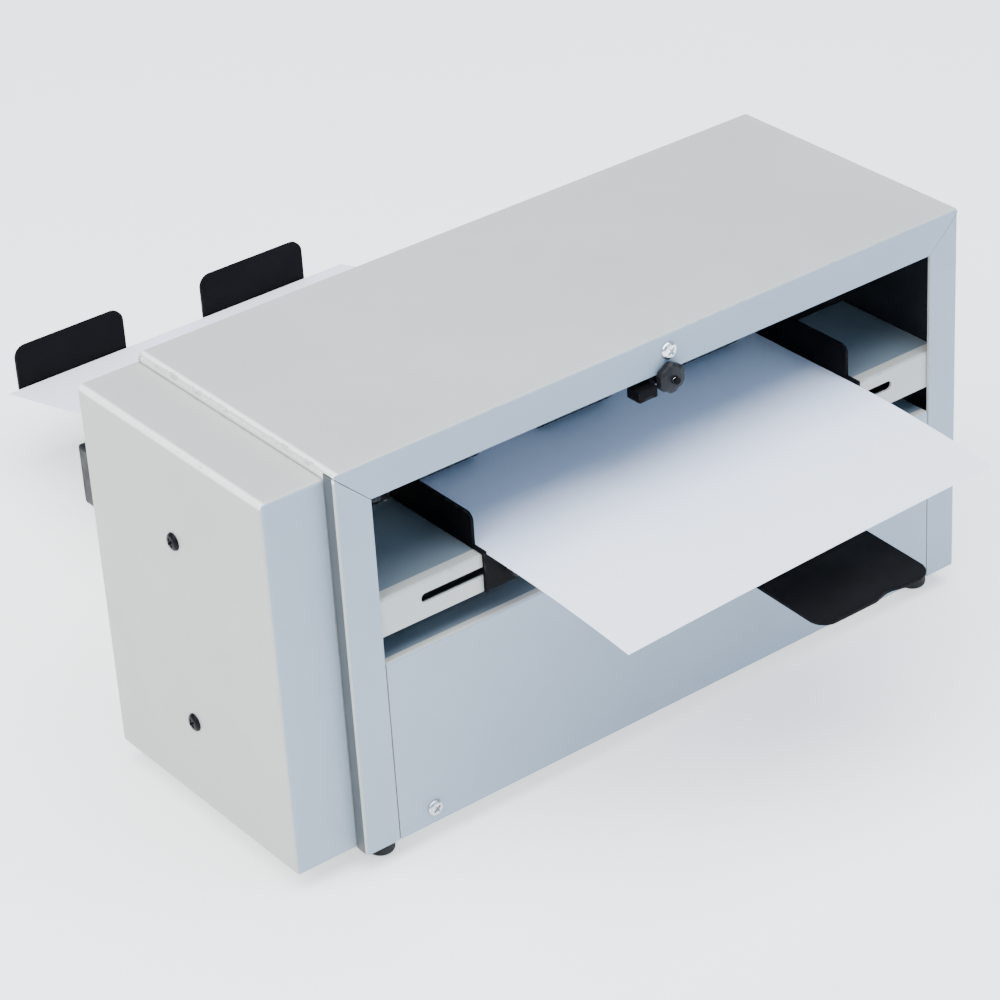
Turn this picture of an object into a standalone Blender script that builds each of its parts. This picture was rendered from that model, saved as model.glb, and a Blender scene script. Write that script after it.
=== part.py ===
"""Desktop sheet machine: a steel housing with a drive cover on its left end, a feed table with two
side guides, three stacked roller shafts and three stacked knife shafts driven by one motor, a rear
catch tray with two upturned fingers, a front catch plate, and two sheets of card stock.

Lengths are in metres. X runs along the housing, +Y towards its rear and +Z up. The functions below
take housing coordinates: x from the housing's left side, y from its front face, z from its
underside. The place function moves them so that the origin is under the middle of the whole
machine, on the surface it stands on.
"""
from math import asin, atan2, cos, hypot, pi, radians, sin, tan

import bmesh
import bpy
from mathutils import Matrix, Vector

# Driving dimensions of the housing
BODY_LENGTH = 0.354
BODY_DEPTH = 0.148
BODY_HEIGHT = 0.1922
FOOT_HEIGHT = 0.0105
FRAME_WIDTH = 0.018          # the border round the front opening
SHEET_STEEL = 0.0015
FOLD_RADIUS = 0.0016
GAP = 0.0003                 # clearance between pieces that touch

# The drive cover on the left end
COVER_LENGTH = 0.0315
COVER_FRONT = 0.0078
COVER_REAR = 0.149
COVER_TOP = 0.1876
COVER_BOTTOM = 0.0
COVER_SCREW_Y = 0.0808
COVER_SCREW_Z = (0.0445, 0.1381)   # lower, upper
SCREW_HEAD_HEIGHT = 0.002

# The feed opening
TABLE_TOP = 0.123
TABLE_REAR = 0.0672
TABLE_STEEL = 0.0012
CROSSBAR_BOTTOM = 0.1045
SLOT_END = 0.040             # ends of the crossbar's slot, from the ends of the housing
SLOT_Z = 0.1146
SLOT_HEIGHT = 0.0046
LOWER_PANEL_TOP = 0.0922
LOWER_DECK_DEPTH = 0.030     # how far the front panel is folded back under the lower slot
REAR_MOUTH_BOTTOM = 0.0935
REAR_FLANGE_BOTTOM = 0.136
PANEL_SCREW_X = 0.0374
PANEL_SCREW_Z = 0.0081
FASCIA_SCREW_Z = 0.1838

# Side guides and hold-down lever
GUIDE_FRONT = 0.008
GUIDE_REAR = 0.0685
GUIDE_TOP = 0.1405
GUIDE_FOOT = 0.027           # length of the foot over the crossbar
GUIDE_KNOB = 0.014           # from the guide's wall to its knob
LEVER_X = 0.1775
LEVER_Z = 0.1720

# Inner frame
PLATE_INSET = 0.008          # inner frame plates, from the ends of the housing
PLATE_THICKNESS = 0.002
PLATE_FRONT = 0.0040
PLATE_REAR = BODY_DEPTH - 0.0040
PLATE_BOTTOM = SHEET_STEEL + GAP
PLATE_TOP = BODY_HEIGHT - 0.0080
TIE_RODS = ((0.016, 0.060), (0.136, 0.060), (0.088, 0.168))
SIDE_SCREW_Z = (0.040, 0.158)
FOOT_X = (0.0155, BODY_LENGTH - 0.0155)
FOOT_Y = (0.0125, BODY_DEPTH - 0.0125)

# Card stock and catch tray
STOCK_WIDTH = 0.2159
STOCK_LENGTH = 0.2794
STOCK_THICKNESS = 0.0003
STOCK_LEFT = 0.0748
STOCK_OVERHANG = 0.091
STOCK_DROOP = 0.0052         # how far the free edge hangs below the table
TRAY_SLOPE = 0.245
TRAY_END = 0.421             # y of the upturned stops
TRAY_END_HEIGHT = 0.031      # z of the caught sheet at the stops
STOP_HEIGHT = 0.0245
STOP_THICKNESS = 0.002
FINGER_WIDTH = 0.067
FINGER_LEFT = 0.082
FINGER_RIGHT = 0.199
CATCH_REACH = 0.1055         # how far the front catch plate stands out
CATCH_TILT = 0.040
CATCH_X = (0.172, 0.238)
CATCH_Z = 0.0970

# The roller and knife shafts
SHAFT_SPACING = 0.026        # between neighbouring shafts of one stack
ROLLER_RADIUS = 0.01255
ROLLER_X = (0.100, 0.177, 0.254)
ROLLER_LENGTH = 0.040
KNIFE_X = (0.080, 0.1315, 0.183, 0.2345, 0.286)
KNIFE_THICKNESS = 0.002
FEED_Y = 0.0735
KNIFE_Y = FEED_Y + 2 * SHAFT_SPACING
SHAFT_RADIUS = 0.004
GEAR_TEETH = 16
GEAR_X = -0.0135
GEAR_WIDTH = 0.006
MOTOR_Y = 0.056
MOTOR_Z = 0.034
MOTOR_PULLEY_RADIUS = 0.006
IDLER_PULLEY_RADIUS = 0.012
BELT_X = -0.0215
BELT_WIDTH = 0.0040

# Electrical parts on the rear of the drive cover
INLET_LOW = (-0.0290, COVER_REAR - 0.008, 0.1220)
INLET_HIGH = (-0.0094, COVER_REAR + 0.011, 0.1520)
SWITCH_LOW = (-0.0272, COVER_REAR - 0.008, 0.0700)
SWITCH_HIGH = (-0.0112, COVER_REAR + 0.0015, 0.0960)
ROCKER_TILT = 7.0

STOCK_MIDDLE_Z = TABLE_TOP + GAP + STOCK_THICKNESS / 2
MIDDLE_SHAFT_Z = STOCK_MIDDLE_Z - SHAFT_SPACING / 2
IDLER_Y = (FEED_Y + KNIFE_Y) / 2
REAR_END = TRAY_END + GAP + STOP_THICKNESS
ORIGIN = Vector((
    (COVER_LENGTH - BODY_LENGTH) / 2,
    (CATCH_REACH - REAR_END) / 2,
    FOOT_HEIGHT,
))

COLLECTION = "desktop_sheet_machine"
ROUND = 12                   # sides of a turned piece

PAINT = ("painted_steel", (0.70, 0.70, 0.66), 0.45, 0.0)
COVER_PAINT = ("end_cover_paint", (0.68, 0.69, 0.65), 0.45, 0.0)
TABLE_PAINT = ("table_paint", (0.42, 0.48, 0.55), 0.5, 0.0)
STEEL = ("bright_steel", (0.62, 0.62, 0.63), 0.3, 1.0)
BLACK_STEEL = ("black_steel", (0.02, 0.02, 0.022), 0.45, 0.0)
RUBBER = ("black_rubber", (0.02, 0.02, 0.02), 0.8, 0.0)
CHROME = ("chrome", (0.8, 0.8, 0.8), 0.1, 1.0)
PLASTIC = ("black_plastic", (0.025, 0.025, 0.028), 0.5, 0.0)
NYLON = ("gear_nylon", (0.80, 0.78, 0.70), 0.5, 0.0)
ZINC = ("zinc_plate", (0.55, 0.56, 0.58), 0.4, 0.9)
CARD = ("card_stock", (0.88, 0.90, 0.94), 0.8, 0.0)


def place(x, y, z):
    """World position of a point given in housing coordinates."""
    return Vector((x, y, z)) + ORIGIN


def clear_scene():
    for item in list(bpy.data.objects):
        bpy.data.objects.remove(item, do_unlink=True)


def collection(name):
    found = bpy.data.collections.get(name)
    if found is None:
        found = bpy.data.collections.new(name)
        bpy.context.scene.collection.children.link(found)
    return found


def material(finish):
    name, colour, roughness, metallic = finish
    found = bpy.data.materials.get(name)
    if found is None:
        found = bpy.data.materials.new(name)
        found.use_nodes = True
        shader = found.node_tree.nodes["Principled BSDF"]
        shader.inputs["Base Color"].default_value = (*colour, 1.0)
        shader.inputs["Roughness"].default_value = roughness
        shader.inputs["Metallic"].default_value = metallic
    return found


def add_object(name, data, finish):
    piece = bpy.data.objects.new(name, data)
    collection(COLLECTION).objects.link(piece)
    data.materials.append(material(finish))
    return piece


def make_cutter(cutter):
    """Take an object out of the model and keep it as a guide for Boolean modifiers."""
    for owner in list(cutter.users_collection):
        owner.objects.unlink(cutter)
    collection("cutters").objects.link(cutter)
    cutter.hide_render = True
    cutter.display_type = "WIRE"
    return cutter


def bevel(piece, width, segments=1):
    modifier = piece.modifiers.new("bevel", "BEVEL")
    modifier.width = width
    modifier.segments = segments
    modifier.limit_method = "ANGLE"
    modifier.angle_limit = radians(30)
    return piece


def solidify(piece, thickness):
    modifier = piece.modifiers.new("solidify", "SOLIDIFY")
    modifier.thickness = thickness
    modifier.offset = -1
    modifier.use_even_offset = True
    modifier.use_quality_normals = True
    return piece


def boolean(piece, other, operation="DIFFERENCE"):
    modifier = piece.modifiers.new(operation.lower(), "BOOLEAN")
    modifier.operation = operation
    modifier.solver = "EXACT"
    modifier.object = make_cutter(other)
    return piece


def block(name, low, high, finish=PAINT):
    """A box between two corners, in housing coordinates."""
    low, high = place(*low), place(*high)
    mesh = bpy.data.meshes.new(name)
    shape = bmesh.new()
    bmesh.ops.create_cube(shape, size=1.0)
    bmesh.ops.scale(shape, vec=high - low, verts=shape.verts)
    shape.to_mesh(mesh)
    shape.free()
    piece = add_object(name, mesh, finish)
    piece.location = (low + high) / 2
    return piece


def open_box(name, low, high, missing, finish=PAINT):
    """A thin box with one face left out; missing is that face's outward direction."""
    piece = block(name, low, high, finish)
    shape = bmesh.new()
    shape.from_mesh(piece.data)
    doomed = [face for face in shape.faces if face.normal.dot(Vector(missing)) > 0.9]
    bmesh.ops.delete(shape, geom=doomed, context="FACES")
    shape.to_mesh(piece.data)
    shape.free()
    return piece


AXIS_TURN = {
    "X": Matrix.Rotation(pi / 2, 4, "Y"),
    "-X": Matrix.Rotation(-pi / 2, 4, "Y"),
    "Y": Matrix.Rotation(-pi / 2, 4, "X"),
    "-Y": Matrix.Rotation(pi / 2, 4, "X"),
    "Z": Matrix.Identity(4),
}

# Turns a flat outline drawn in (y, z) so that it stands upright with its thickness along X.
PROFILE_TURN = Matrix(((0, 0, 1, 0), (1, 0, 0, 0), (0, 1, 0, 0), (0, 0, 0, 1)))


def turned(name, centre, axis, profile, finish=STEEL, steps=ROUND):
    """A turned piece: profile is (radius, height) pairs from the far end down to the centre point."""
    mesh = bpy.data.meshes.new(name)
    shape = bmesh.new()
    points = [shape.verts.new((radius, 0.0, height)) for radius, height in profile]
    for upper, lower in zip(points, points[1:]):
        shape.edges.new((upper, lower))
    shape.to_mesh(mesh)
    shape.free()
    piece = add_object(name, mesh, finish)
    screw = piece.modifiers.new("screw", "SCREW")
    screw.axis = "Z"
    screw.steps = steps
    screw.render_steps = steps
    screw.use_merge_vertices = True
    screw.merge_threshold = 0.00001
    screw.use_smooth_shade = True
    piece.matrix_world = Matrix.Translation(place(*centre)) @ AXIS_TURN[axis]
    return piece


def outline(name, centre, axis, loops, thickness, finish=STEEL):
    """A flat plate from closed loops of 2-D points; the first loop is its edge, the rest are holes."""
    curve = bpy.data.curves.new(name, "CURVE")
    curve.dimensions = "2D"
    curve.fill_mode = "BOTH"
    curve.extrude = thickness / 2
    for loop in loops:
        spline = curve.splines.new("POLY")
        spline.points.add(len(loop) - 1)
        for point, (across, up) in zip(spline.points, loop):
            point.co = (across, up, 0.0, 1.0)
        spline.use_cyclic_u = True
    piece = add_object(name, curve, finish)
    piece.matrix_world = Matrix.Translation(place(*centre)) @ AXIS_TURN[axis]
    return piece


def as_mesh(piece):
    """Turn a curve piece into a mesh with its caps welded, so that it can be cut."""
    bpy.context.view_layer.update()
    graph = bpy.context.evaluated_depsgraph_get()
    mesh = bpy.data.meshes.new_from_object(piece.evaluated_get(graph))
    shape = bmesh.new()
    shape.from_mesh(mesh)
    bmesh.ops.remove_doubles(shape, verts=shape.verts, dist=0.000001)
    shape.to_mesh(mesh)
    shape.free()
    name = piece.name
    matrix = piece.matrix_world.copy()
    curve = piece.data
    bpy.data.objects.remove(piece, do_unlink=True)
    bpy.data.curves.remove(curve)
    mesh.name = name
    result = bpy.data.objects.new(name, mesh)
    collection(COLLECTION).objects.link(result)
    result.matrix_world = matrix
    return result


def circle(radius, steps, centre=(0.0, 0.0)):
    angles = [2 * pi * step / steps for step in range(steps)]
    return [(centre[0] + radius * cos(angle), centre[1] + radius * sin(angle)) for angle in angles]


def rounded_rectangle(low, high, radii, steps=4):
    """Corner radii run anticlockwise from the low corner; a radius of 0 leaves a sharp corner."""
    corners = [
        (low[0], low[1], 1, 1, pi),
        (high[0], low[1], -1, 1, 1.5 * pi),
        (high[0], high[1], -1, -1, 0.0),
        (low[0], high[1], 1, -1, 0.5 * pi),
    ]
    points = []
    for (x, y, side_x, side_y, start), radius in zip(corners, radii):
        if radius == 0:
            points.append((x, y))
            continue
        middle = (x + side_x * radius, y + side_y * radius)
        for step in range(steps + 1):
            angle = start + 0.5 * pi * step / steps
            points.append((middle[0] + radius * cos(angle), middle[1] + radius * sin(angle)))
    return points


def folded_sheet(name, rows, finish=PAINT, thickness=SHEET_STEEL, radius=FOLD_RADIUS):
    """Folded sheet metal: each row is the pair of end points of one fold line or free edge."""
    mesh = bpy.data.meshes.new(name)
    shape = bmesh.new()
    lines = [[shape.verts.new(place(*point)) for point in row] for row in rows]
    for (first, second), (third, fourth) in zip(lines, lines[1:]):
        shape.faces.new((first, second, fourth, third))
    shape.to_mesh(mesh)
    shape.free()
    piece = add_object(name, mesh, finish)
    if radius:
        bevel(piece, radius, 3)
    solidify(piece, thickness)
    return piece


def drill(piece, centre, axis, radius, length):
    """Cut a round hole whose axis starts at centre."""
    profile = [(0.0, length), (radius, length), (radius, 0.0), (0.0, 0.0)]
    boolean(piece, turned(piece.name + "_hole", centre, axis, profile))


def slot(piece, low, high):
    boolean(piece, block(piece.name + "_slot", low, high))


def join(piece, *others):
    for other in others:
        boolean(piece, other, "UNION")
    return piece


def pan_screw(name, centre, axis, finish, head_radius=0.0042, shank=0.008):
    """A screw whose head rests on the sheet at centre and whose shank goes in against axis."""
    head = SCREW_HEAD_HEIGHT - GAP
    profile = [
        (0.0, head),
        (head_radius * 0.55, head * 0.9),
        (head_radius, head * 0.35),
        (head_radius, 0.0),
        (0.0017, 0.0),
        (0.0017, -shank),
        (0.0, -shank),
    ]
    sign = -1 if axis.startswith("-") else 1
    direction = {"X": (1, 0, 0), "Y": (0, 1, 0), "Z": (0, 0, 1)}[axis[-1]]
    start = [value + sign * GAP * step for value, step in zip(centre, direction)]
    return turned(name, start, axis, profile, finish, steps=12)


# Housing ---------------------------------------------------------------------------------------


def side_panel(name, left):
    """End wall, folded into the front frame's jamb and a flange at the rear."""
    def point(x, y, z):
        return (x if left else BODY_LENGTH - x, y, z)

    edge_top = BODY_HEIGHT - FRAME_WIDTH - GAP
    wall_top = BODY_HEIGHT - SHEET_STEEL - GAP
    flange_top = REAR_FLANGE_BOTTOM - GAP
    notch = BODY_DEPTH - SHEET_STEEL - 2 * GAP
    path = [
        (FRAME_WIDTH - GAP, 0.0, edge_top),
        (0.0, 0.0, wall_top),
        (0.0, notch, wall_top),
        (0.0, notch + 0.0001, flange_top),
        (0.0, BODY_DEPTH, flange_top),
        (FRAME_WIDTH - GAP, BODY_DEPTH, flange_top),
    ]
    rows = [(point(x, y, top), point(x, y, 0.0)) for x, y, top in path]
    if left:
        rows.reverse()
    panel = folded_sheet(name, rows, radius=0.0)
    return bevel(panel, 0.0004)


def side_panels():
    left = side_panel("side_panel_left", True)
    margin = 2 * SHAFT_RADIUS
    window_low = (-0.002, FEED_Y - margin, MIDDLE_SHAFT_Z - SHAFT_SPACING - margin)
    window_high = (0.002, KNIFE_Y + margin, MIDDLE_SHAFT_Z + SHAFT_SPACING + margin)
    slot(left, window_low, window_high)
    drill(left, (-0.002, MOTOR_Y, MOTOR_Z), "X", 0.008, 0.004)
    right = side_panel("side_panel_right", False)
    for label, height in zip(("lower", "upper"), SIDE_SCREW_Z):
        spot = (BODY_LENGTH, BODY_DEPTH / 2, height)
        drill(right, (BODY_LENGTH - 0.003, spot[1], spot[2]), "X", 0.002, 0.006)
        pan_screw("side_panel_screw_" + label, spot, "X", STEEL, shank=0.0055)


def top_cover():
    """Top of the housing, folded down into the front border, which is mitred, and the rear flange."""
    border = BODY_HEIGHT - FRAME_WIDTH
    mitre = FRAME_WIDTH + GAP
    rows = [
        ((mitre, 0.0, border), (BODY_LENGTH - mitre, 0.0, border)),
        ((GAP, 0.0, BODY_HEIGHT), (BODY_LENGTH - GAP, 0.0, BODY_HEIGHT)),
        ((GAP, BODY_DEPTH, BODY_HEIGHT), (BODY_LENGTH - GAP, BODY_DEPTH, BODY_HEIGHT)),
        ((GAP, BODY_DEPTH, REAR_FLANGE_BOTTOM), (BODY_LENGTH - GAP, BODY_DEPTH, REAR_FLANGE_BOTTOM)),
    ]
    cover = folded_sheet("top_cover", rows)
    drill(cover, (LEVER_X + 0.0015, -0.002, FASCIA_SCREW_Z), "Y", 0.002, 0.006)
    pan_screw("fascia_screw", (LEVER_X + 0.0015, 0.0, FASCIA_SCREW_Z), "-Y", CHROME, 0.0043, 0.0052)


def front_panel():
    """Lower front panel, folded back under the lower slot."""
    inner = FRAME_WIDTH + GAP
    rows = [
        ((inner, 0.0, 0.0), (BODY_LENGTH - inner, 0.0, 0.0)),
        ((inner, 0.0, LOWER_PANEL_TOP), (BODY_LENGTH - inner, 0.0, LOWER_PANEL_TOP)),
        ((inner, LOWER_DECK_DEPTH, LOWER_PANEL_TOP), (BODY_LENGTH - inner, LOWER_DECK_DEPTH, LOWER_PANEL_TOP)),
    ]
    panel = folded_sheet("front_panel", rows)
    for label, x in (("left", PANEL_SCREW_X), ("right", BODY_LENGTH - PANEL_SCREW_X)):
        drill(panel, (x, -0.002, PANEL_SCREW_Z), "Y", 0.002, 0.005)
        pan_screw("front_panel_screw_" + label, (x, 0.0, PANEL_SCREW_Z), "-Y", STEEL, shank=0.0058)


def rear_panel():
    """Rear wall below the exit mouth, with a narrow lip folded inwards."""
    left = FRAME_WIDTH + GAP
    right = BODY_LENGTH - left
    lip = BODY_DEPTH - 0.005
    rows = [
        ((left, lip, REAR_MOUTH_BOTTOM), (right, lip, REAR_MOUTH_BOTTOM)),
        ((left, BODY_DEPTH, REAR_MOUTH_BOTTOM), (right, BODY_DEPTH, REAR_MOUTH_BOTTOM)),
        ((left, BODY_DEPTH, 0.0), (right, BODY_DEPTH, 0.0)),
    ]
    folded_sheet("rear_panel", rows)


def base_pan():
    """Bottom of the housing with low walls that the panels screw to."""
    inset = SHEET_STEEL + GAP
    low = (inset + 0.003, inset, 0.0)
    high = (BODY_LENGTH - inset - 0.003, BODY_DEPTH - inset, 0.014)
    pan = open_box("base_pan", low, high, (0, 0, 1))
    solidify(pan, SHEET_STEEL)
    for x in (PANEL_SCREW_X, BODY_LENGTH - PANEL_SCREW_X):
        drill(pan, (x, 0.0, PANEL_SCREW_Z), "Y", 0.002, 0.006)
    for x in FOOT_X:
        for y in FOOT_Y:
            drill(pan, (x, y, -0.002), "Z", 0.0024, 0.006)


def feet():
    """Rubber feet on plugs that go up through the base pan."""
    radius = 0.0075
    profile = [
        (0.0, 0.004),
        (0.0021, 0.004),
        (0.0021, -GAP),
        (radius * 0.92, -GAP),
        (radius, -0.002),
        (radius * 0.86, 0.0012 - FOOT_HEIGHT),
        (radius * 0.74, -FOOT_HEIGHT),
        (0.0, -FOOT_HEIGHT),
    ]
    for side, x in zip(("left", "right"), FOOT_X):
        for end, y in zip(("front", "rear"), FOOT_Y):
            turned("foot_{}_{}".format(end, side), (x, y, 0.0), "Z", profile, RUBBER)


def end_cover():
    """Pressed cover over the gear train, open towards the housing."""
    low = (-COVER_LENGTH, COVER_FRONT, COVER_BOTTOM)
    high = (-GAP, COVER_REAR, COVER_TOP)
    cover = open_box("end_cover", low, high, (1, 0, 0), COVER_PAINT)
    bevel(cover, 0.002, 3)
    solidify(cover, SHEET_STEEL)
    for label, height in zip(("lower", "upper"), COVER_SCREW_Z):
        drill(cover, (-COVER_LENGTH - 0.002, COVER_SCREW_Y, height), "X", 0.002, 0.006)
        spot = (-COVER_LENGTH, COVER_SCREW_Y, height)
        pan_screw("end_cover_screw_" + label, spot, "-X", BLACK_STEEL, 0.0043, 0.007)
    low = (INLET_LOW[0] - GAP, COVER_REAR - 0.004, INLET_LOW[2] - GAP)
    high = (INLET_HIGH[0] + GAP, COVER_REAR + 0.004, INLET_HIGH[2] + GAP)
    slot(cover, low, high)
    low = (SWITCH_LOW[0] - GAP, COVER_REAR - 0.004, SWITCH_LOW[2] - GAP)
    high = (SWITCH_HIGH[0] + GAP, COVER_REAR + 0.004, SWITCH_HIGH[2] + GAP)
    slot(cover, low, high)


def cover_posts():
    """Threaded stand-offs under the cover's screws; the upper one steps over the gears."""
    inside = GAP + SHEET_STEEL - COVER_LENGTH
    lower, upper = COVER_SCREW_Z
    length = -GAP - inside
    profile = [(0.0, length), (0.004, length), (0.004, 0.0), (0.0, 0.0)]
    post = turned("cover_post_lower", (inside, COVER_SCREW_Y, lower), "X", profile, ZINC, 8)
    drill(post, (inside - 0.001, COVER_SCREW_Y, lower), "X", 0.0021, 0.015)
    width = 0.005
    leg_top = upper + 0.026
    strap = block(
        "cover_post_upper",
        (inside, COVER_SCREW_Y - width, upper - 0.004),
        (inside + 0.0055, COVER_SCREW_Y + width, leg_top),
        ZINC,
    )
    leg = block(
        "cover_post_leg",
        (inside, COVER_SCREW_Y - width, leg_top - 0.004),
        (-GAP, COVER_SCREW_Y + width, leg_top),
        ZINC,
    )
    join(strap, leg)
    drill(strap, (inside - 0.001, COVER_SCREW_Y, upper), "X", 0.0021, 0.010)


# Frame and feed table --------------------------------------------------------------------------


def frame_plates():
    """The two inner plates that carry the shafts, the table and the tie rods."""
    for label, x in (("left", PLATE_INSET), ("right", BODY_LENGTH - PLATE_INSET - PLATE_THICKNESS)):
        loops = [rounded_rectangle((PLATE_FRONT, PLATE_BOTTOM), (PLATE_REAR, PLATE_TOP), (0.002,) * 4, 2)]
        for y in (FEED_Y, KNIFE_Y):
            for step in (-1, 0, 1):
                centre = (y, MIDDLE_SHAFT_Z + step * SHAFT_SPACING)
                loops.append(circle(SHAFT_RADIUS + GAP, ROUND, centre))
        for y, z in TIE_RODS:
            loops.append(circle(0.003 + GAP, 8, (y, z)))
        if label == "left":
            loops.append(circle(SHAFT_RADIUS + GAP, ROUND, (IDLER_Y, MIDDLE_SHAFT_Z)))
            loops.append(circle(0.0085 + GAP, ROUND, (MOTOR_Y, MOTOR_Z)))
        else:
            loops.extend(circle(0.002, 8, (BODY_DEPTH / 2, height)) for height in SIDE_SCREW_Z)
        plate = outline("frame_plate_" + label, (0.0, 0.0, 0.0), "Z", loops, PLATE_THICKNESS, ZINC)
        plate.matrix_world = Matrix.Translation(place(x + PLATE_THICKNESS / 2, 0.0, 0.0)) @ PROFILE_TURN


def tie_rods():
    """Shouldered rods between the inner plates."""
    inner = PLATE_INSET + PLATE_THICKNESS + GAP
    length = BODY_LENGTH - 2 * inner
    spigot = PLATE_THICKNESS + 0.002
    profile = [
        (0.0, length + spigot),
        (0.003, length + spigot),
        (0.003, length),
        (0.0045, length),
        (0.0045, 0.0),
        (0.003, 0.0),
        (0.003, -spigot),
        (0.0, -spigot),
    ]
    for label, (y, z) in zip(("front", "rear", "upper"), TIE_RODS):
        turned("tie_rod_" + label, (inner, y, z), "X", profile, ZINC, steps=8)


def feed_table():
    """Feed table with its front edge folded down into a slotted crossbar."""
    left = PLATE_INSET + PLATE_THICKNESS + GAP
    right = BODY_LENGTH - left
    front = SHEET_STEEL + GAP
    rows = [
        ((left, front, CROSSBAR_BOTTOM), (right, front, CROSSBAR_BOTTOM)),
        ((left, front, TABLE_TOP), (right, front, TABLE_TOP)),
        ((left, TABLE_REAR, TABLE_TOP), (right, TABLE_REAR, TABLE_TOP)),
    ]
    table = folded_sheet("feed_table", rows, TABLE_PAINT, thickness=TABLE_STEEL)
    low = (SLOT_END, 0.0, SLOT_Z - SLOT_HEIGHT / 2)
    high = (BODY_LENGTH - SLOT_END, 0.005, SLOT_Z + SLOT_HEIGHT / 2)
    slot(table, low, high)


def guide_profile():
    """Side view of a guide: a wall on the table, a low neck in front of it and a stem over the crossbar."""
    low, neck_top = TABLE_TOP + GAP, TABLE_TOP + 0.002
    wall = rounded_rectangle((GUIDE_FRONT, low), (GUIDE_REAR, GUIDE_TOP), (0.0, 0.0, 0.004, 0.004))
    return [
        (0.0, neck_top),
        (0.0, CROSSBAR_BOTTOM),
        (SHEET_STEEL, CROSSBAR_BOTTOM),
        (SHEET_STEEL, low),
        *wall[1:],
        (GUIDE_FRONT, neck_top),
    ]


def side_guide(name, wall, outward):
    """A side guide and its foot over the crossbar; outward is the side away from the sheet."""
    middle = wall + outward * SHEET_STEEL / 2
    side = outline(name + "_side", (0.0, 0.0, 0.0), "Z", [guide_profile()], SHEET_STEEL, BLACK_STEEL)
    side.matrix_world = Matrix.Translation(place(middle, 0.0, 0.0)) @ PROFILE_TURN
    guide = as_mesh(side)
    guide.name = name
    guide.data.name = name
    foot_low, foot_high = sorted((middle, wall - outward * GUIDE_FOOT))
    foot = block(
        name + "_foot",
        (foot_low, 0.0001, CROSSBAR_BOTTOM + 0.0005),
        (foot_high, SHEET_STEEL - 0.0001, TABLE_TOP - GAP),
        BLACK_STEEL,
    )
    join(guide, foot)
    screw_x = wall - outward * GUIDE_KNOB
    drill(guide, (screw_x, -0.001, SLOT_Z), "Y", 0.002, 0.004)
    clamp_knob(name + "_knob", (screw_x, -GAP, SLOT_Z))


def clamp_knob(name, centre):
    """A small fluted thumb knob whose stud passes through the foot and the crossbar's slot."""
    profile = [
        (0.0, 0.0065),
        (0.0045, 0.0065),
        (0.0055, 0.0055),
        (0.0055, 0.0012),
        (0.0040, 0.0),
        (0.0016, 0.0),
        (0.0016, -0.0060),
        (0.0, -0.0060),
    ]
    turned(name, centre, "-Y", profile, PLASTIC, steps=12)


def side_guides():
    side_guide("guide_left", STOCK_LEFT - GAP, -1)
    side_guide("guide_right", STOCK_LEFT + STOCK_WIDTH + GAP, 1)


def hold_down():
    """The lever under the middle of the front border: bracket, stud, swinging lever and knob."""
    back = SHEET_STEEL + GAP
    bracket = block(
        "lever_bracket",
        (LEVER_X - 0.010, back + 0.004, LEVER_Z - 0.006),
        (LEVER_X + 0.010, back + 0.0055, BODY_HEIGHT - 0.006),
        BLACK_STEEL,
    )
    shelf = block(
        "lever_bracket_shelf",
        (LEVER_X - 0.010, back, BODY_HEIGHT - 0.0145),
        (LEVER_X + 0.010, back + 0.0055, BODY_HEIGHT - 0.006),
        BLACK_STEEL,
    )
    stud_profile = [(0.0, 0.0145), (0.0016, 0.0145), (0.0016, 0.0), (0.0, 0.0)]
    stud = turned("lever_stud", (LEVER_X, back + 0.005, LEVER_Z), "-Y", stud_profile, BLACK_STEEL)
    join(bracket, shelf, stud)
    drill(bracket, (LEVER_X + 0.0015, back - 0.001, FASCIA_SCREW_Z), "Y", 0.002, 0.0045)

    eye = turned(
        "hold_down_lever",
        (LEVER_X, back + 0.0036, LEVER_Z),
        "-Y",
        [(0.0, 0.0018), (0.005, 0.0018), (0.005, 0.0), (0.0, 0.0)],
        BLACK_STEEL,
    )
    web = block(
        "lever_web",
        (LEVER_X - 0.0185, back + 0.0018, LEVER_Z - 0.0045),
        (LEVER_X, back + 0.0036, LEVER_Z - 0.0005),
        BLACK_STEEL,
    )
    tab = block(
        "lever_tab",
        (LEVER_X - 0.0185, -0.0035, LEVER_Z - 0.0045),
        (LEVER_X - 0.0080, back + 0.0036, LEVER_Z - 0.0030),
        BLACK_STEEL,
    )
    join(eye, web, tab)
    drill(eye, (LEVER_X, -0.002, LEVER_Z), "Y", 0.0016 + GAP, 0.012)

    lobes = []
    count = 48
    for step in range(count):
        angle = 2 * pi * step / count
        radius = 0.0068 + 0.0005 * cos(6 * angle)
        lobes.append((radius * cos(angle), radius * sin(angle)))
    outline(
        "hold_down_knob",
        (LEVER_X, -0.0030, LEVER_Z),
        "-Y",
        [lobes, circle(0.0016 + GAP, ROUND)],
        0.0050,
        PLASTIC,
    )


# Shafts, gears and drive -----------------------------------------------------------------------


def shaft_profile(bands, right_end):
    """Profile of a shaft from its right end to its gear end; bands are (start, end, radius) in x."""
    start = GEAR_X - GEAR_WIDTH / 2 - 0.0012
    profile = [(0.0, right_end - start), (SHAFT_RADIUS, right_end - start)]
    for low, high, radius in sorted(bands, reverse=True):
        profile.append((SHAFT_RADIUS, high - start))
        profile.append((radius, high - start))
        profile.append((radius, low - start))
        profile.append((SHAFT_RADIUS, low - start))
    profile.append((SHAFT_RADIUS, 0.0))
    profile.append((0.0, 0.0))
    return start, profile


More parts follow.
